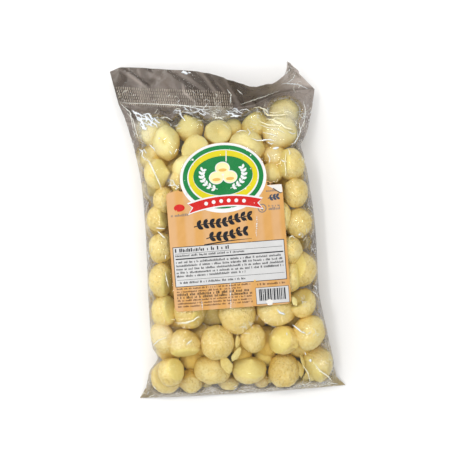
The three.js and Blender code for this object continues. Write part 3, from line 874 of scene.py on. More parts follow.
seen_parts = [seen_puff(row, 5 + 3 * k) for k, row in enumerate(SEEN_PUFFS)]
seen_points, seen_faces, seen_base = join(seen_parts)
GLARE_FROM, GLARE_TO = 40, 78  # painted glare: towards the seal the puffs are painted paler, for the film's glare over them
# a random tone for each puff, plus the painted glare towards the seal
paleness_and_glare = 0.35 * np.random.default_rng(8).random(len(seen_parts))
paleness_and_glare += 0.65 * smooth_step(GLARE_FROM, GLARE_TO, seen_sizes[:, 1])
seen_tone_and_glare = np.repeat(paleness_and_glare, [len(part[0]) for part in seen_parts])
seen_mesh = make_mesh(
    "puffs_upper", (seen_points + SHIFT) * MM, seen_faces, {"base": seen_base, "tone": seen_tone_and_glare},
)
upper_puffs = make_piece("puffs_upper", seen_mesh, CRUST)
lift_off_table(upper_puffs)
print(f"puffs_upper: {triangles(seen_mesh):,} triangles")

# %% Puffs: the hidden ones, scattered
KIND_SHARES = {
    "ball": 0.34, "dome": 0.24, "dish": 0.08, "cone": 0.18, "navel": 0.06, "crack": 0.07, "hollow": 0.03,
}
HIDDEN_CELLS = 12
hidden_meshes = []
for k, kind in enumerate(list(KIND_SHARES) * 2):
    points, faces, base = puff_shape(kind, 11 * k + 5, HIDDEN_CELLS)
    hidden_meshes.append(make_mesh(f"hidden {k}", points, faces, {"base": base}))
hidden_rng = np.random.default_rng(4)
hidden_count = len(hidden_puffs)
hidden_kinds = hidden_rng.choice(len(KIND_SHARES), hidden_count, p=list(KIND_SHARES.values()))
hidden_kinds += len(KIND_SHARES) * hidden_rng.integers(2, size=hidden_count)
hidden_turns = [
    tuple(turned(hidden_rng.normal(size=3), hidden_rng.uniform(0, 6.28)).to_euler())
    for _ in range(hidden_count)
]
hidden_sizes = plump_radius[:, None] * hidden_rng.uniform(0.96, 1.0, (hidden_count, 3))
lower_puffs = scatter(
    "puffs_lower", hidden_puffs[:, :3], hidden_kinds, hidden_turns, hidden_sizes, hidden_meshes, CRUST,
)
lift_off_table(lower_puffs)

# %% [markdown]
# ## Broken shells
# An airy puff has a wall hardly thicker than card, and where one breaks, curved flakes of it lie about. A
# flake is a leaf cut out of a bowl, with two skins. It is made once in three shapes and scattered by the same
# tree.


# %% Puffs: flakes of shell
def two_skins(rows, columns):
    """Quads of a closed shell: an upper and a lower grid of points, joined round their edges."""
    number_of = np.arange(rows * columns).reshape(rows, columns)
    corners = (number_of[:-1, :-1], number_of[:-1, 1:], number_of[1:, 1:], number_of[1:, :-1])
    top = np.stack([corner.ravel() for corner in corners], axis=1)
    loop = np.concatenate([
        number_of[0, :], number_of[1:, -1], number_of[-1, -2::-1], number_of[-2:0:-1, 0],
    ])
    after, under = np.roll(loop, -1), rows * columns
    rim = np.stack([loop, loop + under, after + under, after], axis=1)
    return np.concatenate([top, top[:, ::-1] + under, rim])


FLAKE_CELLS, FLAKE_WALL = 8, 0.09


def flake_mesh(seed):
    """A leaf-shaped flake one wide and two long, bent like a bowl, with the bowl's hollow downwards."""
    steps = np.linspace(-1, 1, FLAKE_CELLS + 1)
    v, u = [grid.ravel() for grid in np.meshgrid(steps, steps, indexing="ij")]
    flat = np.stack([u, v], axis=1)
    x = 0.5 * u * (1 - np.abs(v) ** 2.2 * 0.85) + 0.05 * lumps(flat, 0.9, seed)
    y = v + 0.05 * lumps(flat, 0.8, seed + 1)
    z = 0.32 - 0.55 * x * x - 0.30 * y * y + 0.02 * lumps(flat, 0.6, seed + 2)
    skins = np.concatenate([np.stack([x, y, z], axis=1), np.stack([x, y, z - FLAKE_WALL], axis=1)])
    numbers = {"base": np.full(len(skins), 0.6)}
    return make_mesh(f"flake {seed}", skins, two_skins(FLAKE_CELLS + 1, FLAKE_CELLS + 1), numbers)


FLAKES = [  # x, y, z, width, half length, turn in degrees, lean in degrees
    (-1.9, -84.5, 33, 5.5, 5.5, -10, 40), (-3.8, -94.5, 34, 6.0, 6.6, -38, 20),
    (-12.5, -102.0, 34.8, 9.0, 7.6, 24, 8), (46.8, -113, 24, 6.5, 7.0, 8, 30),
    (52.5, -120, 20, 6.0, 6.0, -30, 15), (42.5, -89.5, 41, 7.5, 4.5, 60, 15),
    (58.5, -117.5, 22, 7.0, 7.5, -25, 10), (46.5, -55.5, 44, 5.0, 4.0, 20, 30),
    (49.0, -106, 29, 4.5, 6.5, 10, 55), (50.5, -126, 13, 6.0, 4.5, 70, 10),
    (61, -128, 9, 5.5, 5.0, 110, 10), (68.5, -125.5, 8.5, 6.0, 4.5, 60, 10),
    (74, -123, 7.5, 4.5, 3.5, 20, 10), (46, -125, 10, 5.0, 4.0, 150, 10),
    (20, -121, 14, 6.0, 5.0, 80, 10), (-30, -120, 12, 6.0, 5.0, 100, 20),
]
flake_turns = [(0, math.radians(lean), math.radians(turn)) for *_, turn, lean in FLAKES]
flakes = scatter(
    "shell_flakes", [row[:3] for row in FLAKES], np.arange(len(FLAKES)) % 3, flake_turns,
    [(row[3], row[4], row[4] * 0.8) for row in FLAKES], [flake_mesh(k) for k in (1, 5, 9)], FLAKE_CRUST,
)
lift_off_table(flakes)

# %% [markdown]
# ## The sheets of the bag
# The bag is one tube of film: an upper and a lower sheet that meet at the side creases and the fold, and run
# on beyond the seal as a flat double header. Both sheets are grids over the same plan, so they share their
# edges. The header leans and twists along its width, as three short tables say. A closed thin balloon has an
# inside and an outside, and so glass-like shading works on it.

# %% Film: plan of the sheets
HEADER_REACH = [(0, 27.6), (0.07, 32), (0.3, 31.6), (0.55, 29.6), (1, 29.4)]
HEADER_TILT = [
    (0, 6), (0.27, 4), (0.44, 20), (0.55, 40), (0.63, 59),
    (0.7, 71), (0.78, 79), (0.85, 70), (0.92, 38), (1, 8),
]
HEADER_TURN = [(0, -9), (0.3, -5), (0.6, -2), (0.78, -2), (0.86, -12), (0.93, -28), (1, -41)]
ACROSS, BODY_ROWS, HEADER_ROWS = 150, 216, 28
FILM_HALF = 0.15


def plan_point(a, b):
    """Plan position on the bag's body: a goes from side to side and b from the fold to the seal."""
    (y00, x00), (y01, x01) = LEFT_EDGE[0], LEFT_EDGE[-1]
    (y10, x10), (y11, x11) = RIGHT_EDGE[0], RIGHT_EDGE[-1]
    left_y, right_y = y00 + (y01 - y00) * b, y10 + (y11 - y10) * b
    fold_x, seal_x = x00 + (x10 - x00) * a, x01 + (x11 - x01) * a
    corner_x = (1 - a) * (1 - b) * x00 + a * (1 - b) * x10 + (1 - a) * b * x01 + a * b * x11
    corner_y = (1 - a) * (1 - b) * y00 + a * (1 - b) * y10 + (1 - a) * b * y01 + a * b * y11
    sides = (1 - a) * along(LEFT_EDGE, left_y) + a * along(RIGHT_EDGE, right_y)
    x = sides + (1 - b) * fold_x + b * seal_x - corner_x
    rows = (1 - b) * fold_line(fold_x) + b * along(SEAL_LINE, seal_x)
    return x, (1 - a) * left_y + a * right_y + rows - corner_y


def header_point(a, reach):
    """A point of the header's middle surface, reach millimetres above the seal's line."""
    x, y = plan_point(a, 1.0)
    tilt, turn = np.radians(along(HEADER_TILT, a)), np.radians(along(HEADER_TURN, a))
    level = reach * np.cos(tilt)
    z = along(EDGE_HEIGHT, y) + reach * np.sin(tilt)
    return np.stack([x + level * np.sin(turn), y + level * np.cos(turn), z], axis=-1)


def unit(vectors):
    """The same directions, one long."""
    return vectors / np.linalg.norm(vectors, axis=-1, keepdims=True)


def header_axes(a, reach):
    """Directions across the header and out of it."""
    step = 0.01
    right, left = header_point(np.minimum(a + step, 1), reach), header_point(np.maximum(a - step, 0), reach)
    across = unit(right - left)
    up = unit(header_point(a, reach + 1) - header_point(a, reach))
    return across, unit(np.cross(across, up))


print(f"the sheets have {ACROSS + 1} columns and {BODY_ROWS + HEADER_ROWS + 1} rows of points")

# %% [markdown]
# ## Creases
# Crumpled film is made of flat facets with straight creases between them, and it is their edges that glint.
# Random points joined to triangles, each point a little up or down, give just that. It is drawn on the grid
# of the sheet itself, so it follows the film round the header. A few long creases are laid on as listed.

# %% Film: facets
SHEET_WIDTH, BODY_LENGTH, HEADER_LENGTH = 158.0, 236.0, 30
OVERHANG, FAR_OUT = 15, 90  # how far the random points and the frame round them reach past the sheet
sheet_a = np.linspace(0, 1, ACROSS + 1)
sheet_t = np.concatenate([
    np.linspace(-BODY_LENGTH, 0, BODY_ROWS + 1), np.linspace(0, HEADER_LENGTH, HEADER_ROWS + 1)[1:],
])


def facets(spacing, seed):
    """Heights from -1 to 1 over the sheet's grid: flat facets about this wide, with straight creases."""
    rng = np.random.default_rng(seed)
    low = np.array([0, -BODY_LENGTH])
    high = np.array([SHEET_WIDTH, HEADER_LENGTH])
    count = int(np.prod(high - low + 2 * OVERHANG) / spacing**2)
    dots = rng.uniform(low - OVERHANG, high + OVERHANG, (count, 2))
    heights = rng.uniform(-1, 1, count)
    (left, under), (right, over) = low - FAR_OUT, high + FAR_OUT
    dots = np.concatenate([dots, [(left, under), (right, under), (right, over), (left, over)]])
    heights = np.concatenate([heights, np.zeros(4)])
    spots, _, faces, origins = delaunay_2d_cdt([Vector(dot) for dot in dots], [], [], 0, 1e-5)[:4]
    spots = np.array([tuple(spot) for spot in spots])
    heights = np.array([heights[origin[0]] for origin in origins])
    field = np.zeros((len(sheet_t), len(sheet_a)))
    s = sheet_a * SHEET_WIDTH
    for face in faces:
        (ax, ay), (bx, by), (cx, cy) = spots[face]
        i0, i1 = np.searchsorted(s, (min(ax, bx, cx), max(ax, bx, cx)))
        j0, j1 = np.searchsorted(sheet_t, (min(ay, by, cy), max(ay, by, cy)))
        area = (bx - ax) * (cy - ay) - (cx - ax) * (by - ay)
        if i0 == i1 or j0 == j1 or abs(area) < 1e-9:
            continue
        x, y = np.meshgrid(s[i0:i1], sheet_t[j0:j1])
        wb = ((x - ax) * (cy - ay) - (cx - ax) * (y - ay)) / area
        wc = ((bx - ax) * (y - ay) - (x - ax) * (by - ay)) / area
        within = (wb >= -1e-9) & (wc >= -1e-9) & (wb + wc <= 1 + 1e-9)
        ha, hb, hc = heights[list(face)]
        field[j0:j1, i0:i1][within] = (ha + wb * (hb - ha) + wc * (hc - ha))[within]
    return field


large_facets, small_facets, fine_facets = facets(15, 11), facets(6.5, 12), facets(3.2, 13)
print(f"large facets from {large_facets.min():.2f} to {large_facets.max():.2f}")


# %% Film: long creases
def crease_line(x, y, start, end, height, width):
    """Height at x, y of one straight crease with sloping sides."""
    way = np.array(end, float) - start
    share = np.clip(((x - start[0]) * way[0] + (y - start[1]) * way[1]) / (way @ way), 0, 1)
    apart = np.hypot(x - start[0] - share * way[0], y - start[1] - share * way[1])
    return height * np.maximum(1 - apart / width, 0)


LONG_CREASES = [  # from, to (millimetres across, and above the seal), height, width
    ((22, 15), (40, 31), 1.1, 3.0), ((46, 31), (68, 14), -1.6, 4.0), ((71, 31), (83, 12), 1.6, 3.5),
    ((8, 30), (26, 16), 0.9, 2.5), ((90, 30), (98, 2), 1.2, 3.5), ((4, -4), (14, -30), 1.0, 3.0),
    ((14, -30), (12, -52), 0.8, 3.0), ((20, -62), (42, -98), 0.7, 2.5), ((120, -2), (142, -26), 1.2, 4.0),
    ((100, -6), (128, -18), 0.9, 3.0), ((52, -8), (74, -20), 1.0, 3.0), ((140, -215), (150, -236), 1.6, 4.0),
    ((146, -190), (152, -232), 1.3, 3.5), ((6, -205), (3, -236), 1.4, 3.5),
]
sheet_places = np.meshgrid(sheet_a * SHEET_WIDTH, sheet_t)
long_folds = sum(crease_line(*sheet_places, *crease) for crease in LONG_CREASES)
print(f"{len(LONG_CREASES)} long creases, up to {long_folds.max():.1f} mm high")

# %% [markdown]
# ## Putting the film together
# Where puffs stretch the film it is almost smooth, and where it is slack, at the seal, the corners and the
# sides, it crumples. It only crumples outwards, away from the puffs, and not at all under the sticker. Where
# nothing lies behind it, the doubled film looks warm and grey: the attribute veil says how much. Other
# attributes say where it is slack, where light and shade are painted on its creases, where a painted
# reflection whitens it, and where it is golden: oil and crumbs in the corner and along the fold, and a
# painted glow under the puffs.

# %% Film: the balloon
HEAP_REACH = 9  # in cells of the height grid
EMPTY_FROM, EMPTY_TO = -0.8, 3.2  # distance from the nearest puff's outline
SLACK_FROM, SLACK_TO = -46, -4  # along the sheet towards the seal's line
CORNER_REACH = 40  # round the lower right corner, where the film is slack too
RIM_FADE = 7  # creases fade towards the rim, where the two sheets meet
STIFF_TO, FREE_FROM = -2, -9  # film creases freely only outside the sticker's outline
a_grid, b_grid = np.meshgrid(sheet_a, np.linspace(0, 1, BODY_ROWS + 1))
body_x, body_y = plan_point(a_grid, b_grid)
edge_height = along(EDGE_HEIGHT, body_y)
puff_gap = np.min([(plan_distance(puff, plan_x, plan_y) - 1) * min(puff[3:5]) for puff in all_puffs], axis=0)
heap = closed((puff_gap < 0).astype(float), HEAP_REACH)  # the puffs with the holes between them
gap_or_heap = np.where(heap > 0, np.minimum(puff_gap, -1.0), puff_gap)
empty = smooth_step(EMPTY_FROM, EMPTY_TO, sample(gap_or_heap, body_x, body_y))
near_seal = smooth_step(SLACK_FROM, SLACK_TO, sheet_t[: BODY_ROWS + 1])[:, None]
corner = smooth_step(CORNER_REACH, 0, np.hypot((1 - a_grid) * SHEET_WIDTH, b_grid * BODY_LENGTH))
slack = np.clip(0.20 + 0.65 * near_seal + 0.9 * empty + 0.8 * corner, 0, 1.3)
rim = np.minimum(np.minimum(a_grid, 1 - a_grid) * SHEET_WIDTH, np.minimum(b_grid, 1 - b_grid) * BODY_LENGTH)
bare = 1 - smooth_step(FREE_FROM, STIFF_TO, label_depth(body_x, body_y))
crumple = 1.5 * large_facets + 0.75 * small_facets + 0.28 * fine_facets + long_folds
body_crumple = np.maximum(crumple[: BODY_ROWS + 1] + 1.2, 0) * slack * smooth_step(0, RIM_FADE, rim) * bare
print(f"{(empty > 0.5).mean():.0%} of the upper sheet has no puff behind it")

# %% Film: its colours
# painted reflection: spots where a whitish reflection on the film is painted
PAINTED_REFLECTIONS = [  # x, y, reach, strength
    (-57, 95, 15, 0.50), (-52, 80, 10, 0.20), (52, 92, 17, 0.42), (46, 78, 12, 0.36), (2, 104, 16, 0.22),
    (-64, -72, 13, 0.34), (-50, -78, 8, 0.20), (40, 62, 9, 0.25), (-40, 50, 8, 0.25), (64, -108, 10, 0.12),
]
HEADER_PAINTED_LIGHT = [  # painted light and shade along the header, from the left to the right edge: how light
    (0, 0.10), (0.14, 0.20), (0.3, 0.17), (0.42, 0.10), (0.6, 0.06), (0.74, 0.28), (0.86, 0.85), (1, 0.95),
]
OILY_CORNER, OILY_REACH, OILY_MIDDLE = (70, -124), 48, 14  # oil and crumbs have run into this corner
OILY_FOLD, OILY_FOLD_MIDDLE = 26, 4  # and along the fold
PAINTED_SHADE_LEVEL, PAINTED_SHADE_DROP, PAINTED_SHADE_DROP_TO = 0.24, 0.17, 70  # painted shade: the creases are painted darker towards the right edge
PAINTED_LIGHT_CORNER, PAINTED_LIGHT_REACH, PAINTED_LIGHT_MIDDLE = (74, 112), 62, 15  # painted light: and lighter by the twisted corner
# painted shade: how much a facet's slope paints it lighter or darker
PAINTED_SLOPE_CONTRAST = 0.38


def round_spot(centre, reach, middle):
    """Over the body's plan, 1 within middle of a centre, fading to 0 at reach."""
    return smooth_step(reach, middle, np.hypot(body_x - centre[0], body_y - centre[1]))


# painted reflection, fading out from each spot, and none on the sticker
haze = np.zeros_like(body_x)
for haze_x, haze_y, reach, strength in PAINTED_REFLECTIONS:
    haze = np.maximum(haze, strength * round_spot((haze_x, haze_y), reach, reach * 0.3))
haze *= bare
golden = round_spot(OILY_CORNER, OILY_REACH, OILY_MIDDLE)
golden = np.maximum(golden, 0.6 * smooth_step(OILY_FOLD, OILY_FOLD_MIDDLE, b_grid * BODY_LENGTH))
# painted light and shade on the creases, from their slopes and from the tables above
folds = 2.2 * large_facets + 0.8 * small_facets + 1.2 * long_folds
slope = np.gradient(folds, axis=1) + 0.7 * np.gradient(folds, axis=0)
painted_light = np.full(slope.shape, PAINTED_SHADE_LEVEL)
painted_light[: BODY_ROWS + 1] -= PAINTED_SHADE_DROP * smooth_step(0, PAINTED_SHADE_DROP_TO, body_x)
painted_light[: BODY_ROWS + 1] += 0.5 * round_spot(PAINTED_LIGHT_CORNER, PAINTED_LIGHT_REACH, PAINTED_LIGHT_MIDDLE)
painted_light += (along(HEADER_PAINTED_LIGHT, sheet_a) - painted_light) * np.clip(sheet_t / 6, 0, 1)[:, None]
crease_shade = np.clip(painted_light + PAINTED_SLOPE_CONTRAST * slope, 0, 1)
print(f"the film's tones run from {crease_shade.min():.2f} to {crease_shade.max():.2f}")


# %% Film: the sheets
HIGHEST = bag_high[2] / MM + 1.2
LOWEST_FILM = 0.12
HEADER_RISE = 6  # the header's creases grow over this much above the seal's line
CRIMPED_TO, LOOSE_FROM = 14, 19  # and the crimped band keeps them lower up to here
CRIMPED_SHARE = 0.25


def body_sheet(side):
    """The upper or the lower sheet's points."""
    flat = edge_height + side * FILM_HALF
    if side > 0:
        z = np.maximum(sample(upper_film, body_x, body_y), flat)
        room = np.maximum(HIGHEST - z, 0.05)
        z = z + room * (1 - np.exp(-body_crumple / room))
    else:
        z = np.minimum(sample(lower_film, body_x, body_y), flat) - 0.6 * body_crumple[:, ::-1]
    z = np.where(rim < 1e-9, flat, z)
    return np.stack([body_x, body_y, np.maximum(z, LOWEST_FILM)], axis=-1)


def header_crumple(heights, reach):
    """How far the header's creases stand out: less on the crimped band than above it."""
    loose = CRIMPED_SHARE + (1 - CRIMPED_SHARE) * smooth_step(CRIMPED_TO, LOOSE_FROM, reach)
    return 0.9 * heights * smooth_step(0, HEADER_RISE, reach) * loose


def header_sheet(side):
    """The header's points on one side of its middle surface."""
    a, share = np.meshgrid(sheet_a, np.linspace(0, 1, HEADER_ROWS + 1)[1:])
    reach = share * along(HEADER_REACH, a)
    _, out = header_axes(a, reach)
    wave = header_crumple(crumple[BODY_ROWS + 1 :], reach)
    return header_point(a, reach) + out * (wave + side * FILM_HALF)[..., None]


def film_mesh():
    """The balloon's points and quads, and its attributes."""
    sheets = [np.concatenate([body_sheet(side), header_sheet(side)]) for side in (1, -1)]
    rows, columns = sheets[0].shape[:2]
    header = np.ones((HEADER_ROWS, columns))
    slackness, with_painted_reflection = np.concatenate([slack * bare, 0.4 * header]), np.concatenate([haze, 0 * header])
    numbers = {"slack": np.tile(slackness.ravel(), 2), "shade": np.tile(crease_shade.ravel(), 2)}
    numbers["haze"] = np.tile(with_painted_reflection.ravel(), 2)
    veils, golds = [], []
    for glow_under_heap in (0, np.clip(sample(heap, body_x, body_y), 0, 1)):  # painted glow: the lower sheet is painted golden under the puffs
        veils.append(np.concatenate([np.maximum(empty, 0.6 * glow_under_heap), header]).ravel())
        golds.append(np.concatenate([np.maximum(golden, glow_under_heap), 0 * header]).ravel())
    numbers |= {"veil": np.concatenate(veils), "golden": np.concatenate(golds)}
    points = np.concatenate([sheet.reshape(-1, 3) for sheet in sheets])
    return points, two_skins(rows, columns), numbers


film_points, film_quads, film_numbers = film_mesh()
print(f"{len(film_points):,} points in both sheets")

# %% [markdown]
# ## Clear film
# Film mostly lets light through: a transparent shader, and over it a sharp gloss whose strength follows
# Fresnel's law, weak face on and strong at a glancing angle. That gives the glints. The veil mixes in a warm
# grey surface where the film is doubled over nothing, with light and shade painted on its creases, and a
# golden one under the puffs: a painted glow for the light that has passed through them and comes back. A
# whitish diffuse in a few spots is a painted reflection. Fine wrinkles too small for the mesh are a bump.


# %% Film: material
def film_material():
    """Clear glossy film with a warm grey veil."""
    paint = Finish("clear film")
    veil, slackness, shade = paint.number("veil"), paint.number("slack"), paint.number("shade")
    bent = paint.mixed(0.012, paint.place, paint.noise(60.0, output="Color"), "ADD")
    edges = []
    for scale, wide in ((120.0, 0.10), (300.0, 0.16)):
        cells = paint.node("TexVoronoi", {"Vector": bent, "Scale": scale}, feature="DISTANCE_TO_EDGE")
        edges.append(paint.ramp(cells.outputs[0], 0.0, wide))
    creased = paint.sum_of(edges[0], paint.times(edges[1], 0.45))
    relief = paint.sum_of(creased, paint.noise(130.0, 1.0))
    bump = paint.bump(relief, paint.sum_of(paint.times(slackness, 0.6), 0.12), 0.0006)
    cloud = paint.noise(45.0, 3.0)
    # painted light and shade: the veil's grey runs from dark to light as the shade attribute says
    dark = paint.mixed(paint.ramp(cloud, 0.35, 0.65), (0.062, 0.046, 0.036), (0.100, 0.076, 0.059))
    grey = paint.mixed(shade, dark, (0.52, 0.45, 0.405))
    # painted glow: where the veil is thin, near the puffs and under them, the grey is painted golden brown
    grey = paint.mixed(paint.ramp(veil, 0.35, 0.95), (0.36, 0.25, 0.075), grey)
    # golden: oil and crumbs in the corner and along the fold, and the painted glow under the puffs
    grey = paint.mixed(paint.times(paint.number("golden"), 0.75), grey, (0.46, 0.36, 0.15))
    clear = paint.shader("Transparent", Color=(0.985, 0.98, 0.965))
    veiled = paint.blend(paint.times(veil, 0.82), clear, paint.shader("Diffuse", Color=grey, Normal=bump))
    # painted reflection: a whitish diffuse laid over the film in the listed spots
    reflection_white = paint.shader("Diffuse", Color=(0.97, 0.94, 0.72), Normal=bump)
    with_painted_reflection = paint.blend(paint.times(paint.number("haze"), paint.ramp(cloud, 0.2, 0.6)), veiled, reflection_white)
    gloss = paint.shader("Glossy", Color=(1, 1, 1), Roughness=0.035, Normal=bump)
    fresnel = paint.node("Fresnel", {"IOR": 1.5, "Normal": bump}).outputs[0]
    shine = paint.times(fresnel, paint.sum_of(paint.times(slackness, 0.65), 0.35), clamp=True)
    return paint.done(paint.blend(shine, with_painted_reflection, gloss))


film_skin = make_mesh("film", (film_points + SHIFT) * MM, film_quads, film_numbers)
film = make_piece("film", film_skin, film_material())
print(f"film: {triangles(film_skin):,} triangles")
